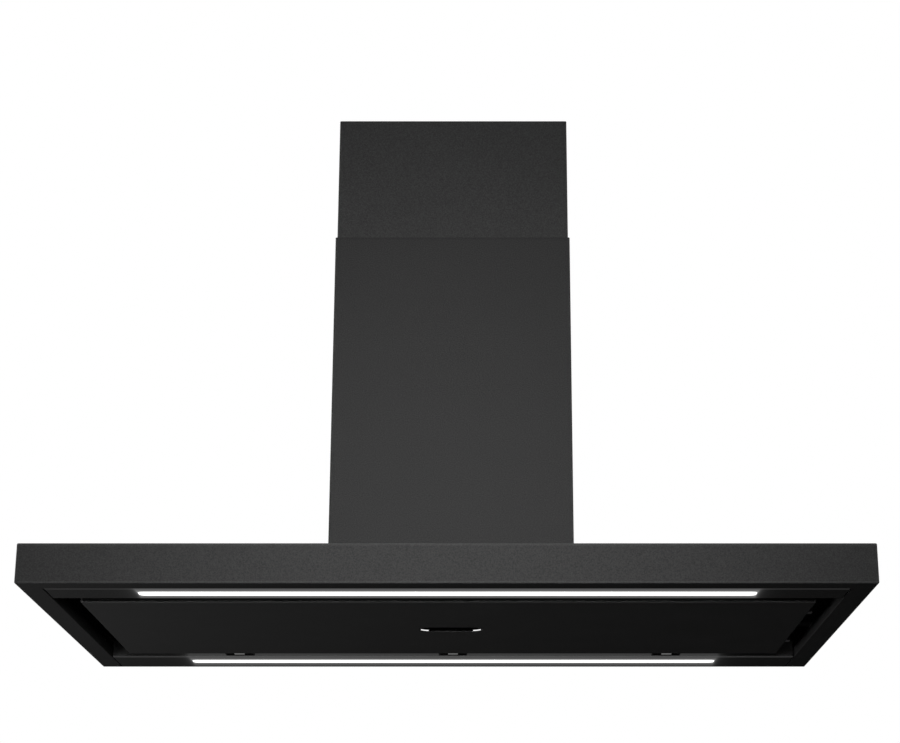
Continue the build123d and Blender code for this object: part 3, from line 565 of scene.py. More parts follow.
@dataclass(frozen=True)
class PaintedGlint(Finish):
    """Polished steel with a painted glint: emission along the middle of its height."""

    middle_z: float
    half_height: float
    strength: float = 1.0
    falloff: float = 4.0
    darkest: Colour = grey(0.6)
    palest: Colour = grey(0.8)
    line_scale: float = 900.0
    roughness: float = 0.2
    swing: float = 0.12

    def sockets(self, shader: Shader) -> Sockets:
        """Paint a glint as emission along the middle of the height.

        Args:
            shader: The new material.

        Returns:
            What each socket of the surface gets.
        """
        _, _, up = shader.axes()
        fine = shader.noise(shader.place(), self.line_scale, detail=3.0)
        away = abs(up - self.middle_z) / self.half_height
        # painted glint, strongest in the middle of the height
        painted_glint = (1.0 - away ** self.falloff).at_least(0.0)
        return {
            "Base Color": shader.blend(fine, self.darkest, self.palest),
            "Metallic": 1.0,
            "Roughness": around(self.roughness, self.swing, fine),
            "Emission Color": shader.blend(painted_glint, grey(0.0), grey(1.0)),
            "Emission Strength": self.strength,
        }


@dataclass(frozen=True)
class MouldedPlastic(Finish):
    """Injection-moulded plastic with a fine spark-eroded grain."""

    tone: Colour
    base: float = 0.15
    grain_scale: float = 1500.0
    grain_share: float = 0.3
    cloud_scale: float = 30.0
    cloud_share: float = 0.4
    darkest: float = 0.86
    palest: float = 1.14
    roughness: float = 0.5
    swing: float = 0.12
    bump_depth: float = 0.05 * MM
    bump_strength: float = 0.35

    def sockets(self, shader: Shader) -> Sockets:
        """Lay a fine grain over a soft cloud.

        Args:
            shader: The new material.

        Returns:
            What each socket of the surface gets.
        """
        where = shader.place()
        grain = shader.noise(where, self.grain_scale)
        cloud = shader.noise(where, self.cloud_scale)
        light = self.base + self.grain_share * grain + self.cloud_share * cloud
        return {
            "Base Color": shader.shades(self.tone, light, self.darkest, self.palest),
            "Roughness": around(self.roughness, self.swing, grain),
            "Normal": shader.bump(grain, self.bump_depth, self.bump_strength),
        }


@dataclass(frozen=True)
class LayeredBoard(Finish):
    """A circuit board whose parts change colour above a level."""

    board: Colour
    parts: Colour
    level: float
    parts_above: bool
    track_stretch: Place = (1.0, 0.35, 1.0)
    track_scale: float = 260.0
    track_edge: float = 0.62
    track_share: float = 0.6
    track_gain: float = 1.7
    roughness: float = 0.48
    swing: float = 0.2
    bump_depth: float = 0.04 * MM
    bump_strength: float = 0.3

    def sockets(self, shader: Shader) -> Sockets:
        """Lay tracks on the board and tint its parts.

        Args:
            shader: The new material.

        Returns:
            What each socket of the surface gets.
        """
        _, _, up = shader.axes()
        tracks = shader.cells(shader.place(self.track_stretch), self.track_scale, "Distance")
        copper = self.track_share * tracks.above(self.track_edge)
        board = shader.shades(self.board, copper, 1.0, self.track_gain)
        over = up.above(self.level)
        side = over if self.parts_above else 1.0 - over
        return {
            "Base Color": shader.blend(side, board, self.parts),
            "Roughness": around(self.roughness, self.swing, side),
            "Normal": shader.bump(tracks, self.bump_depth, self.bump_strength),
        }


# Modelling

NEAR = 0.01 * MM  # edges that lie this close to a level are on it
DOWNWARD = -0.9  # a face whose normal's Z is below this looks down
Test = Callable[[Vector, Vector], bool]
Part = bmesh.types.BMFace | bmesh.types.BMEdge


class Kind(Enum):
    """What is picked in edit mode, and the list of a mesh that holds it."""

    FACE = "faces"
    EDGE = "edges"


class Bench:
    """Edit-mode work on one piece at a time."""

    MERGE = 0.002 * MM
    FLAT = math.radians(1.0)
    SHARP = math.radians(40.0)
    SMOOTH = math.radians(35.0)
    BEVEL_STEPS = 2

    @staticmethod
    def clear() -> None:
        """Leave edit mode and deselect every object."""
        if bpy.context.object and bpy.context.object.mode != "OBJECT":
            bpy.ops.object.mode_set(mode="OBJECT")
        bpy.ops.object.select_all(action="DESELECT")

    @classmethod
    def take(cls, piece: bpy.types.Object) -> None:
        """Make a piece the only selected and active one.

        Args:
            piece: The piece.
        """
        cls.clear()
        piece.select_set(True)
        bpy.context.view_layer.objects.active = piece

    @staticmethod
    def named(name: str) -> bpy.types.Object:
        """Name the piece that was just added or joined.

        Args:
            name: The name of the piece and its mesh.

        Returns:
            The piece.
        """
        piece = bpy.context.object
        piece.name = name
        piece.data.name = name
        return piece

    @classmethod
    def settle(cls, piece: bpy.types.Object) -> None:
        """Move a piece's place, turn and scale into its mesh."""
        cls.take(piece)
        bpy.ops.object.transform_apply(location=True, rotation=True, scale=True)

    @classmethod
    def _pick(cls, piece: bpy.types.Object, kind: Kind, test: Callable[[Part], bool]) -> None:
        """Enter edit mode with some faces or edges selected.

        Args:
            piece: The piece.
            kind: Faces or edges.
            test: Says whether one of them is selected.
        """
        cls.take(piece)
        bpy.ops.object.mode_set(mode="EDIT")
        bpy.ops.mesh.select_mode(type=kind.name)
        bpy.ops.mesh.select_all(action="DESELECT")
        mesh = bmesh.from_edit_mesh(piece.data)
        for part in getattr(mesh, kind.value):
            part.select_set(test(part))
        mesh.select_flush_mode()
        bmesh.update_edit_mesh(piece.data)

    @classmethod
    def pick_faces(cls, piece: bpy.types.Object, test: Test) -> None:
        """Select the faces whose centre and normal pass a test."""
        cls._pick(piece, Kind.FACE, lambda face: test(face.calc_center_median(), face.normal))

    @classmethod
    def pick_edges(cls, piece: bpy.types.Object, test: Test) -> None:
        """Select the edges whose two ends pass a test."""
        cls._pick(piece, Kind.EDGE, lambda edge: test(edge.verts[0].co, edge.verts[1].co))

    @classmethod
    def modify(cls, piece: bpy.types.Object, kind: str, **settings: object) -> None:
        """Add a modifier and apply it.

        Args:
            piece: The piece.
            kind: The modifier's type.
            settings: The modifier's properties.
        """
        cls.take(piece)
        modifier = piece.modifiers.new(kind.title(), kind)
        for key, setting in settings.items():
            setattr(modifier, key, setting)
        bpy.ops.object.modifier_apply(modifier=modifier.name)

    @classmethod
    def copy(cls, piece: bpy.types.Object, name: str, place: Matrix) -> bpy.types.Object:
        """Copy a piece with its mesh.

        Args:
            piece: The piece.
            name: The copy's name.
            place: The matrix that moves the copy's mesh.

        Returns:
            The copy.
        """
        twin = piece.copy()
        twin.data = piece.data.copy()
        twin.name = name
        bpy.context.scene.collection.objects.link(twin)
        twin.data.transform(place)
        return twin

    @classmethod
    def join(cls, pieces: list[bpy.types.Object], name: str) -> bpy.types.Object:
        """Join pieces into one.

        Args:
            pieces: Two or more pieces.
            name: The joined piece's name.

        Returns:
            The joined piece.
        """
        cls.take(pieces[0])
        for piece in pieces:
            piece.select_set(True)
        bpy.ops.object.join()
        return cls.named(name)

    @classmethod
    def smooth(cls, piece: bpy.types.Object) -> None:
        """Shade a piece smooth, apart from its sharp edges."""
        cls.take(piece)
        bpy.ops.object.shade_smooth_by_angle(angle=cls.SMOOTH)

    @classmethod
    def soften(cls, node: str, width: float) -> bpy.types.Object:
        """Return a copy of a CAD node with its sharp edges rounded.

        Args:
            node: The CAD node.
            width: The rounding's width.

        Returns:
            The rounded copy, which still needs its body and finish.
        """
        piece = cls.copy(frame["nodes"][node], f"{node}_edged", Matrix.Identity(4))
        piece.parent = None
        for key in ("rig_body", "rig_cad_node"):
            del piece[key]
        cls.take(piece)
        bpy.ops.object.mode_set(mode="EDIT")
        bpy.ops.mesh.select_all(action="SELECT")
        bpy.ops.mesh.remove_doubles(threshold=cls.MERGE)
        bpy.ops.mesh.dissolve_limited(angle_limit=cls.FLAT)
        bpy.ops.object.mode_set(mode="OBJECT")
        cls.modify(
            piece,
            "BEVEL",
            width=width,
            segments=cls.BEVEL_STEPS,
            limit_method="ANGLE",
            angle_limit=cls.SHARP,
            use_clamp_overlap=True,
        )
        cls.smooth(piece)
        return piece


def dress(piece: bpy.types.Object, material: bpy.types.Material) -> None:
    """Give a piece one finish all over.

    Args:
        piece: A new piece or a CAD node's object.
        material: The finish.
    """
    if not piece.material_slots:
        piece.data.materials.append(material)
    for slot in piece.material_slots:
        slot.material = material


def dress_nodes(material: bpy.types.Material, *nodes: str) -> None:
    """Give CAD nodes their finish and report them.

    Args:
        material: The finish.
        nodes: The nodes' names.
    """
    for node in nodes:
        dress(frame["nodes"][node], material)
        LOG.info("dressed %s with %s", node, material.name)


def mount(
    piece: bpy.types.Object, material: bpy.types.Material, body: str, slot: str, *nodes: str
) -> None:
    """Dress a new piece, place it on its body and report it.

    Args:
        piece: The piece.
        material: Its finish.
        body: The body that it rides on.
        slot: The record's finish, which is not used.
        nodes: The CAD nodes that it stands for.
    """
    dress(piece, material)
    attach(piece, body)
    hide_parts(*nodes)
    LOG.info("%s rides on %s, %d faces", piece.name, body, len(piece.data.polygons))


# Finishes of this hood

COAT_TONE = grey(0.04)


def made(finish: Finish) -> bpy.types.Material:
    """Return a field that holds a finish's material, made with its owner."""
    return field(default_factory=finish.make)


@dataclass
class Finishes:
    """Every finish that several sub-assemblies share."""

    coat: bpy.types.Material = made(PowderCoat("black_powder_coat", COAT_TONE))
    zinc_sheet: bpy.types.Material = made(GalvanisedSheet())
    profile: bpy.types.Material = made(
        Metal("anodised_profile", grey(0.62), 0.36, Brushing.ALONG_X)
    )
    filter_metal: bpy.types.Material = made(
        Metal("filter_aluminium", (0.6, 0.61, 0.62), 0.4, Brushing.ALONG_Y)
    )
    bright: bpy.types.Material = made(Metal("bright_steel", grey(0.42), 0.46))
    dark_steel: bpy.types.Material = made(
        Metal("blackened_steel", grey(0.004), 0.5, metallic=0.0, specular=0.08)
    )
    screw: bpy.types.Material = made(Metal("zinc_screw", (0.56, 0.57, 0.58), 0.3))
    casting: bpy.types.Material = made(Metal("motor_casting", (0.42, 0.43, 0.44), 0.48))
    black_plastic: bpy.types.Material = made(MouldedPlastic("black_plastic", grey(0.02)))
    grey_plastic: bpy.types.Material = made(MouldedPlastic("grey_plastic", (0.21, 0.22, 0.23)))
    clip_plastic: bpy.types.Material = made(MouldedPlastic("clip_plastic", grey(0.06)))


# Sub-assemblies


class Facing(Enum):
    """The way in which a screw's head looks, as a turn from +Z."""

    UP = Matrix.Identity(4)
    FRONT = Matrix.Rotation(math.radians(90.0), 4, "X")
    BACK = Matrix.Rotation(math.radians(-90.0), 4, "X")
    LEFT = Matrix.Rotation(math.radians(-90.0), 4, "Y")
    RIGHT = Matrix.Rotation(math.radians(90.0), 4, "Y")


@dataclass
class PanScrew:
    """A pan-head screw with a cross recess, modelled once with its seat at the origin."""

    head_radius: float = 3.5 * MM
    head_height: float = 2.2 * MM
    shank_radius: float = 1.95 * MM
    sides: int = 32
    crown: float = 1.1 * MM
    crown_steps: int = 5
    tip_chamfer: float = 0.3 * MM
    recess_width: float = 0.9 * MM
    recess_length: float = 3.8 * MM
    recess_depth: float = 1.2 * MM
    recess_spare: float = 0.3 * MM
    turn_step: float = 23.0

    def build(self, name: str, shank: float) -> bpy.types.Object:
        """Return one screw.

        Args:
            name: The piece's name.
            shank: The shank's length below the seat.

        Returns:
            The screw, head up.
        """
        Bench.clear()
        bpy.ops.mesh.primitive_cylinder_add(
            vertices=self.sides,
            radius=self.head_radius,
            depth=self.head_height,
            location=(0, 0, self.head_height / 2),
        )
        screw = Bench.named(name)
        Bench.settle(screw)
        top = self.head_height - NEAR
        Bench.pick_edges(screw, lambda a, b: min(a.z, b.z) > top)
        bpy.ops.mesh.bevel(offset=self.crown, segments=self.crown_steps)
        self._extend_shank(screw, shank)
        self._cut_recess(screw)
        Bench.smooth(screw)
        return screw

    def _extend_shank(self, screw: bpy.types.Object, shank: float) -> None:
        """Draw the shank out of the head's seat and chamfer its tip.

        Args:
            screw: The head so far.
            shank: The shank's length.
        """
        Bench.pick_faces(screw, lambda centre, normal: normal.z < DOWNWARD)
        bpy.ops.mesh.inset(thickness=self.head_radius - self.shank_radius)
        bpy.ops.mesh.extrude_region_move(TRANSFORM_OT_translate={"value": (0, 0, -shank)})
        tip = -shank + NEAR
        Bench.pick_edges(screw, lambda a, b: max(a.z, b.z) < tip)
        bpy.ops.mesh.bevel(offset=self.tip_chamfer, segments=1)
        Bench.clear()

    def _cut_recess(self, screw: bpy.types.Object) -> None:
        """Sink the cross into the head.

        Args:
            screw: The screw so far.
        """
        middle = self.head_height - self.recess_depth / 2 + self.recess_spare
        height = self.recess_depth + 2 * self.recess_spare
        arms = []
        for size in (
            (self.recess_length, self.recess_width),
            (self.recess_width, self.recess_length),
        ):
            bpy.ops.mesh.primitive_cube_add(size=1.0, location=(0, 0, middle))
            arm = Bench.named("recess_arm")
            arm.scale = (*size, height)
            Bench.settle(arm)
            arms.append(arm)
        for arm in arms:
            Bench.modify(screw, "BOOLEAN", operation="DIFFERENCE", object=arm, solver="EXACT")
        for arm in arms:
            bpy.data.objects.remove(arm)

    def row(
        self, name: str, shank: float, places: list[tuple[Vector, Facing]]
    ) -> bpy.types.Object:
        """Return a group of equal screws.

        Args:
            name: The group's name.
            shank: The shank's length.
            places: Each screw's seat and the way that its head looks.

        Returns:
            One piece with every screw.
        """
        pattern = self.build(f"{name}_pattern", shank)
        screws = []
        for index, (seat, facing) in enumerate(places):
            turn = Matrix.Rotation(math.radians(self.turn_step * index), 4, "Z")
            place = Matrix.Translation(seat) @ facing.value @ turn
            screws.append(Bench.copy(pattern, f"{name}_{index}", place))
        bpy.data.objects.remove(pattern)
        return Bench.join(screws, name)


@dataclass
class Canopy:
    """The slim canopy body with the screws of its light bars."""

    # painted shade on the underside at z = 0, painted highlights along the bottom and top bends
    # all round
    lines: tuple[PaintedLine, ...] = (
        PaintedLine(0.0, 0.4 * MM, -0.13),
        PaintedLine(1.3 * MM, 1.2 * MM, 0.42),
        PaintedLine(41.5 * MM, 1.7 * MM, 0.36),
    )
    bar_screw_x: tuple[float, ...] = (-400 * MM, -140 * MM, 140 * MM, 400 * MM)
    front_seat: tuple[float, float] = (-473 * MM, 8 * MM)
    rear_seat: tuple[float, float] = (-2 * MM, 15 * MM)
    shank: float = 1.8 * MM

    def build(self, finishes: Finishes) -> None:
        """Dress the shell with its painted lines of highlight and shade, and make the bars'
        screws.

        Args:
            finishes: The shared finishes.
        """
        dress_nodes(PowderCoat("canopy_coat", COAT_TONE, lines=self.lines).make(), "canopy_shell")
        places = []
        for x in self.bar_screw_x:
            places.append((Vector((x, *self.front_seat)), Facing.BACK))
            places.append((Vector((x, *self.rear_seat)), Facing.FRONT))
        screws = PanScrew().row("bar_pan_screws", self.shank, places)
        mount(screws, finishes.screw, "hood", "zinc_screw", "bar_screws")


@dataclass
class LightBar:
    """One of the two light bars."""

    side: str
    half_length: float = 329 * MM
    half_width: float = 10 * MM
    fold_inset: float = 2 * MM
    fold_reach: float = 3.5 * MM
    painted_fold_light: float = 0.035
    board_level: float = 0.8 * MM
    board_tone: Colour = grey(0.72)
    lamp_tone: Colour = (0.85, 0.7, 0.18)

    def build(self, finishes: Finishes) -> None:
        """Dress the bar with its painted glow, its diffuser, profile and lamps.

        Args:
            finishes: The shared finishes.
        """
        middle_y = sum(corner.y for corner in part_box(f"{self.side}_led_diffuser")) / 2
        fold_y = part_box(f"{self.side}_light_bar")[0].y + self.fold_inset
        # painted highlight along the bar's front fold and a painted glow beside the strip, as
        # emission
        fold = PaintedLine(fold_y, self.fold_reach, self.painted_fold_light, DEEP)
        glow = PaintedGlow(middle_y, self.half_length, self.half_width, fold)
        coat = PowderCoat(f"{self.side}_bar_coat", COAT_TONE, glow=glow).make()
        lens = OpalStrip(f"{self.side}_opal", middle_y, self.half_width).make()
        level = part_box(f"{self.side}_led_board")[0].z + self.board_level
        lamps = LayeredBoard(
            f"{self.side}_lamp_board", self.board_tone, self.lamp_tone, level, parts_above=False
        ).make()
        dress_nodes(coat, f"{self.side}_light_bar")
        dress_nodes(lens, f"{self.side}_led_diffuser")
        dress_nodes(finishes.profile, f"{self.side}_led_channel")
        dress_nodes(lamps, f"{self.side}_led_board")


@dataclass
class SuctionPanel:
    """The perimeter panel that drops open, with its hinges and catches."""

    # the panel's coat is the black coat made 1.22 times paler: painted light
    shade: float = 1.22
    # painted highlight along the panel's front fold
    painted_fold_highlight: PaintedLine = PaintedLine(-401.0 * MM, 3.5 * MM, 0.6, DEEP)
    # the cup tabs and hinge leaves get a painted glint
    tab_glint: PaintedGlint = PaintedGlint("polished_steel", 1.4 * MM, 0.75 * MM)
    leaf_glint: PaintedGlint = PaintedGlint("hinge_steel", 1.0 * MM, 1.5 * MM, 0.11)

    def build(self, finishes: Finishes) -> None:
        """Dress the panel, with its painted light, and what it carries.

        Args:
            finishes: The shared finishes.
        """
        tone = scaled(COAT_TONE, self.shade)
        coat = PowderCoat("panel_coat", tone, lines=(self.painted_fold_highlight,))
        dress_nodes(coat.make(), "perimeter_panel")
        dress_nodes(finishes.zinc_sheet, "panel_stiffeners")
        dress_nodes(self.tab_glint.make(), "cup_tabs")
        dress_nodes(self.leaf_glint.make(), "hinge_leaves")
        dress_nodes(finishes.bright, "strike_plates", "hinge_pins")
        dress_nodes(finishes.dark_steel, "finger_cup", "hinge_brackets")
        dress_nodes(finishes.clip_plastic, "edge_clips")
        dress_nodes(finishes.black_plastic, "catch_magnets")


@dataclass
class FilterMesh:
    """Two layers of expanded aluminium, cut to a filter's window."""

    node: str
    strand: float = 1.1 * MM
    thickness: float = 0.5 * MM
    cell_across: float = 12.0 * MM
    cell_along: float = 7.0 * MM
    layers: int = 2
    layer_shift: float = 0.3
    latch_half: float = 34.0 * MM
    latch_back: float = 18.0 * MM

    def build(self, body: str, finish: bpy.types.Material) -> None:
        """Make the layers and mount them in place of the CAD plate.

        Args:
            body: The body that the mesh rides on.
            finish: Its finish.
        """
        low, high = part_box(self.node)
        layers = [self._layer(low, high, index) for index in range(self.layers)]
        piece = Bench.join(layers, f"{self.node}_layers")
        mount(piece, finish, body, "filter_aluminium", self.node)

    def _layer(self, low: Vector, high: Vector, index: int) -> bpy.types.Object:
        """Make one sheet of diamonds inside the window's box.

        Args:
            low: The box's lowest corner.
            high: Its highest corner.
            index: The layer's number, from below.

        Returns:
            The sheet.
        """
        middle = (low + high) / 2
        size = high - low
        reach = max(size.x / self.cell_across, size.y / self.cell_along)
        count = 2 * math.ceil(reach) + 2
        Bench.clear()
        bpy.ops.mesh.primitive_grid_add(
            x_subdivisions=count, y_subdivisions=count, size=count * math.sqrt(0.5)
        )
        layer = Bench.named(f"{self.node}_layer_{index}")
        turn = Matrix.Rotation(math.radians(45.0), 4, "Z")
        stretch = Matrix.Diagonal((self.cell_across, self.cell_along, 1.0, 1.0))
        height = low.z + (index + 0.5) * size.z / self.layers
        across = middle.x + index * self.layer_shift * self.cell_across
        shift = Vector((across, middle.y, height))
        layer.data.transform(Matrix.Translation(shift) @ stretch @ turn)
        self._trim(layer, low, high)
        self._open(layer, low)
        Bench.modify(layer, "SOLIDIFY", thickness=self.thickness, offset=0.0)
        return layer

    @staticmethod
    def _trim(layer: bpy.types.Object, low: Vector, high: Vector) -> None:
        """Cut a layer along the window's four sides.

        Args:
            layer: The layer.
            low: The window's lowest corner.
            high: Its highest corner.
        """
        cuts = (
            (low, (-1, 0, 0)),
            (low, (0, -1, 0)),
            (high, (1, 0, 0)),
            (high, (0, 1, 0)),
        )
        Bench.take(layer)
        bpy.ops.object.mode_set(mode="EDIT")
        for corner, outward in cuts:
            bpy.ops.mesh.select_all(action="SELECT")
            bpy.ops.mesh.bisect(plane_co=corner, plane_no=outward, clear_outer=True)

    def _open(self, layer: bpy.types.Object, low: Vector) -> None:
        """Open every diamond, and clear the space of the latch.

        Args:
            layer: The layer, in edit mode.
            low: The window's lowest corner.
        """
        bpy.ops.mesh.select_all(action="SELECT")
        bpy.ops.mesh.inset(thickness=self.strand / 2, use_individual=True)
        bpy.ops.mesh.delete(type="FACE")
        middle_x = sum(corner.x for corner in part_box(self.node)) / 2
        back_y = low.y + self.latch_back
        Bench.pick_faces(
            layer,
            lambda centre, _: abs(centre.x - middle_x) < self.latch_half and centre.y < back_y,
        )
        bpy.ops.mesh.delete(type="FACE")
        Bench.clear()


@dataclass
class FilterBay:
    """The bay with its three grease filters."""

    names: tuple[str, ...] = ("left", "centre", "right")
    border_edge: float = 0.24 * MM
    latch_edge: float = 0.4 * MM

    def build(self, finishes: Finishes) -> None:
        """Dress the bay and build the filters.

        Args:
            finishes: The shared finishes.
        """
        dress_nodes(finishes.coat, "filter_bay_frame")
        metal, plastic = finishes.filter_metal, finishes.black_plastic
        for name in self.names:
            node = f"{name}_filter_frame"
            border = Bench.soften(node, self.border_edge)
            mount(border, metal, "hood", "filter_aluminium", node)
            FilterMesh(f"{name}_filter_mesh").build("hood", metal)
            node = f"{name}_filter_latch"
            latch = Bench.soften(node, self.latch_edge)
            mount(latch, plastic, f"{name}_latch", "black_plastic", node)


@dataclass
class Blower:
    """The blower box with its fan, volute and outlet."""

    cover_screw_x: float = 122 * MM
    cover_screw_z: tuple[float, ...] = (54 * MM, 163 * MM, 272 * MM)
    shank: float = 8 * MM

    def build(self, finishes: Finishes) -> None:
        """Dress the blower's nodes and make the cover's screws.

        Args:
            finishes: The shared finishes.
        """
        dress_nodes(finishes.zinc_sheet, "blower_box", "blower_box_cover", "motor_mount")
        dress_nodes(finishes.black_plastic, "scroll_left", "scroll_right")
        dress_nodes(finishes.black_plastic, "outlet_adapter", "duct_collar")
        dress_nodes(finishes.grey_plastic, "impeller", "front_flap", "rear_flap")
        dress_nodes(finishes.bright, "fan_shaft", "flap_hinge_wire")
        dress_nodes(finishes.screw, "hub_nut")
        dress_nodes(finishes.casting, "fan_motor")
        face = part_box("blower_box_cover")[0].y
        places = [
            (Vector((side * self.cover_screw_x, face, z)), Facing.FRONT)
            for side in (-1, 1)
            for z in self.cover_screw_z
        ]
        screws = PanScrew().row("cover_pan_screws", self.shank, places)
        mount(screws, finishes.screw, "hood", "zinc_screw", "cover_screws")


@dataclass
class Electrics:
    """The control box, capacitor and lamp supply."""

    parts_level: float = 5.7 * MM
    board_tone: Colour = (0.01, 0.1, 0.035)
    parts_tone: Colour = grey(0.03)

    def build(self, finishes: Finishes) -> None:
        """Dress the electrical nodes.

        Args:
            finishes: The shared finishes.
        """
        dress_nodes(finishes.black_plastic, "control_box", "control_box_cover", "cable_gland")
        dress_nodes(finishes.grey_plastic, "led_driver", "led_end_caps")
        dress_nodes(finishes.profile, "run_capacitor")
        dress_nodes(finishes.zinc_sheet, "capacitor_clip")
        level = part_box("control_board")[0].z + self.parts_level
        board = LayeredBoard(
            "control_board_green", self.board_tone, self.parts_tone, level, parts_above=True
        )
        dress_nodes(board.make(), "control_board")


@dataclass
class Chimney:
    """The two telescopic covers and what fixes them."""

    foot_x: float = 137.5 * MM
    foot_y: tuple[float, ...] = (-205 * MM, -55 * MM)
    foot_top: float = 44 * MM
    side_seat: tuple[float, float] = (-15 * MM, 626 * MM)
    shank: float = 6 * MM
    # the lower cover is a darker copy of the black coat, painted shade; the upper cover a paler
    # copy, painted light
    lower_painted_shade: float = 0.94
    upper_painted_light: float = 1.11
    # a painted shade line at 485 mm on the lower cover
    lines: tuple[PaintedLine, ...] = (PaintedLine(485.0 * MM, 3.0 * MM, -0.12),)

    def build(self, finishes: Finishes) -> None:
        """Dress the covers with their painted light and shade, and make their screws.

        Args:
            finishes: The shared finishes.
        """
        painted_shade_tone = scaled(COAT_TONE, self.lower_painted_shade)
        lower = PowderCoat("lower_cover_coat", painted_shade_tone, lines=self.lines)
        upper = PowderCoat("upper_cover_coat", scaled(COAT_TONE, self.upper_painted_light))
        dress_nodes(lower.make(), "lower_chimney")
        dress_nodes(upper.make(), "upper_chimney")
        dress_nodes(finishes.zinc_sheet, "upper_wall_bracket")
        places = [
            (Vector((side * self.foot_x, y, self.foot_top)), Facing.UP)
            for side in (-1, 1)
            for y in self.foot_y
        ]
        feet = PanScrew().row("chimney_pan_screws", self.shank, places)
        mount(feet, finishes.screw, "hood", "zinc_screw", "chimney_screws")
        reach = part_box("upper_chimney")[1].x
        places = [
            (Vector((-reach, *self.side_seat)), Facing.LEFT),
            (Vector((reach, *self.side_seat)), Facing.RIGHT),
        ]
        sides = PanScrew().row("bracket_pan_screws", self.shank, places)
        mount(sides, finishes.dark_steel, "telescopic_cover", "blackened_steel", "bracket_screws")


# Studio


def point(thing: bpy.types.Object, place: Place, aim: Place) -> None:
    """Put a lamp or the camera into the scene and point it.

    Args:
        thing: The lamp or camera.
        place: Where it stands.
        aim: The point that it faces.
    """
    bpy.context.scene.collection.objects.link(thing)
    thing.location = place
    thing.rotation_mode = "QUATERNION"
    thing.rotation_quaternion = (Vector(aim) - Vector(place)).to_track_quat("-Z", "Y")


@dataclass
class Lamp:
    """One soft rectangular studio lamp."""

    name: str
    place: Place
    aim: Place
    size: tuple[float, float]
    power: float
    spread: float = 180.0

    def build(self) -> None:
        """Hang the lamp and turn it to its aim."""
        light = bpy.data.lights.new(self.name, "AREA")
        light.shape = "RECTANGLE"
        light.size, light.size_y = self.size
        light.energy = self.power
        light.spread = math.radians(self.spread)
        lamp = bpy.data.objects.new(self.name, light)
        point(lamp, self.place, self.aim)
        lamp.visible_camera = False


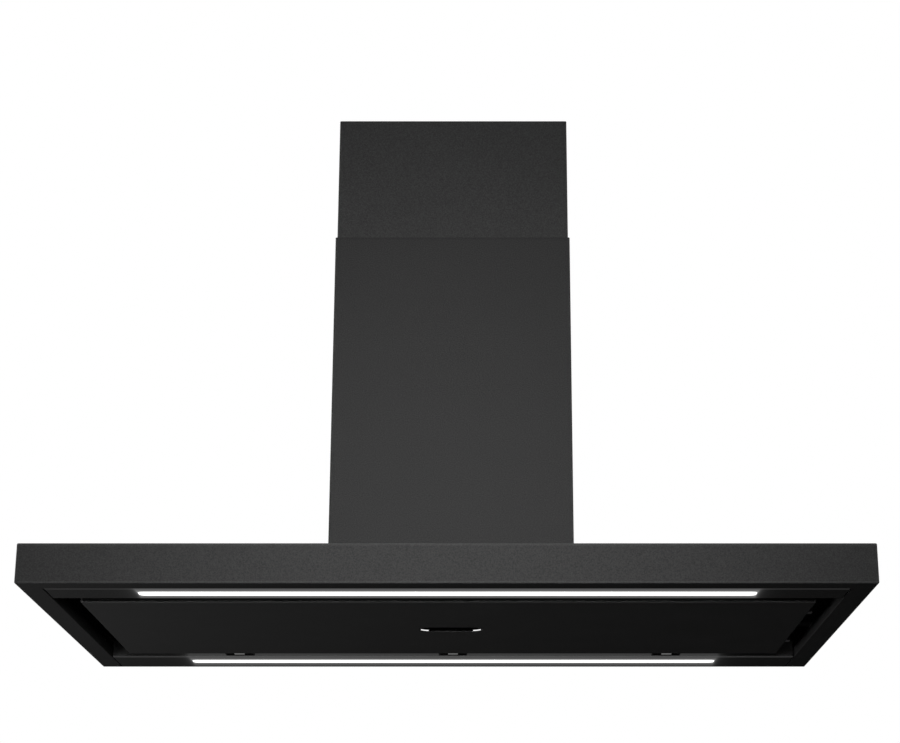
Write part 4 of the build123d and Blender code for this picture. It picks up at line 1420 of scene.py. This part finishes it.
@dataclass
class Studio:
    """A pale floor, soft lamps, a white background and the camera."""

    floor_level: float = -1.5
    floor_reach: float = 30.0
    floor_tone: float = 0.8
    floor_bounce: float = 0.015
    floor_light: float = 0.6
    floor_haze: float = 0.05
    floor_gloss: float = 0.05
    floor_roughness: float = 0.9
    floor_specular: float = 0.1
    ambient: float = 0.03
    sky_gloss: float = 0.5
    camera_place: Place = (0.0396, -2.5, -0.436)
    camera_aim: Place = (0.0396, -0.25, 0.2699)
    sensor: float = 36.0
    lens: float = 78.47
    shift_up: float = 0.04
    shift_right: float = -0.0387
    lamps: tuple[Lamp, ...] = (
        Lamp("front_lamp", (-0.06, -2.0, -0.02), (-0.02, -0.5, 0.05), (0.6, 0.3), 2.4, 60.0),
        Lamp("chimney_lamp", (0.0, -2.2, 0.3), (0.0, -0.26, 0.2), (0.5, 0.5), 0.75, 40.0),
        Lamp("low_lamp", (-1.2, -0.4, -0.5), (-0.1, -0.25, 0.0), (0.4, 0.4), 5.0),
        Lamp("left_lamp", (-2.4, -0.3, 1.0), (0.0, -0.25, 0.25), (1.0, 1.6), 26.0),
        Lamp("right_lamp", (2.4, -0.3, 1.0), (0.0, -0.25, 0.25), (1.0, 1.6), 26.0),
        Lamp("top_lamp", (0.0, -0.4, 2.6), (0.0, -0.25, 0.2), (2.2, 1.6), 20.0),
        Lamp("rear_lamp", (0.6, 2.6, 1.0), (0.0, 0.0, 0.3), (1.8, 1.4), 24.0),
    )

    def build(self) -> None:
        """Set up the whole studio."""
        self._floor()
        self._world()
        for lamp in self.lamps:
            lamp.build()
        self._camera()
        bpy.context.scene.view_settings.view_transform = "Standard"

    def _floor(self) -> None:
        """Lay the floor."""
        Bench.clear()
        bpy.ops.mesh.primitive_plane_add(
            size=2 * self.floor_reach, location=(0, 0, self.floor_level)
        )
        floor = Bench.named("studio_floor")
        Bench.settle(floor)
        shader = Shader.named("studio_floor")
        seen = shader.seen(self.floor_gloss)
        across, along, _ = shader.axes()
        away = (across * across + along * along) ** 0.5
        pale = (self.floor_light + self.floor_haze * away).at_most(1.0)
        inputs = {
            "Base Color": shader.blend(seen, grey(self.floor_bounce), grey(self.floor_tone)),
            "Roughness": self.floor_roughness,
            "Specular IOR Level": self.floor_specular,
            "Emission Color": shader.blend(seen * pale, grey(0.0), grey(1.0)),
            "Emission Strength": 1.0,
        }
        dress(floor, shader.surface(inputs))

    def _world(self) -> None:
        """Make the background white to the camera and dim as a light."""
        world = bpy.data.worlds.new("studio_world")
        bpy.context.scene.world = world
        shader = Shader(world)
        seen = shader.seen(self.sky_gloss)
        plain = {"Color": (1.0, 1.0, 1.0, 1.0)}
        dim = shader.add("ShaderNodeBackground", {}, {**plain, "Strength": self.ambient})
        white = shader.add("ShaderNodeBackground", {}, {**plain, "Strength": 1.0})
        mixed = shader.add("ShaderNodeMixShader", {}, {0: seen, 1: dim, 2: white})
        shader.add("ShaderNodeOutputWorld", {}, {"Surface": mixed})

    def _camera(self) -> None:
        """Place the camera below the hood, looking up at it."""
        data = bpy.data.cameras.new("photo_camera")
        data.sensor_width = self.sensor
        data.lens = self.lens
        data.shift_x = self.shift_right
        data.shift_y = self.shift_up
        camera = bpy.data.objects.new("photo_camera", data)
        point(camera, self.camera_place, self.camera_aim)
        bpy.context.scene.camera = camera


def main() -> None:
    """Build the hood's looks and the studio round it."""
    logging.basicConfig(level=logging.INFO, format="%(name)s: %(message)s")
    finishes = Finishes()
    Canopy().build(finishes)
    for side in ("front", "rear"):
        LightBar(side).build(finishes)
    SuctionPanel().build(finishes)
    FilterBay().build(finishes)
    Blower().build(finishes)
    Electrics().build(finishes)
    Chimney().build(finishes)
    Studio().build()


if __name__ == "__main__":
    main()
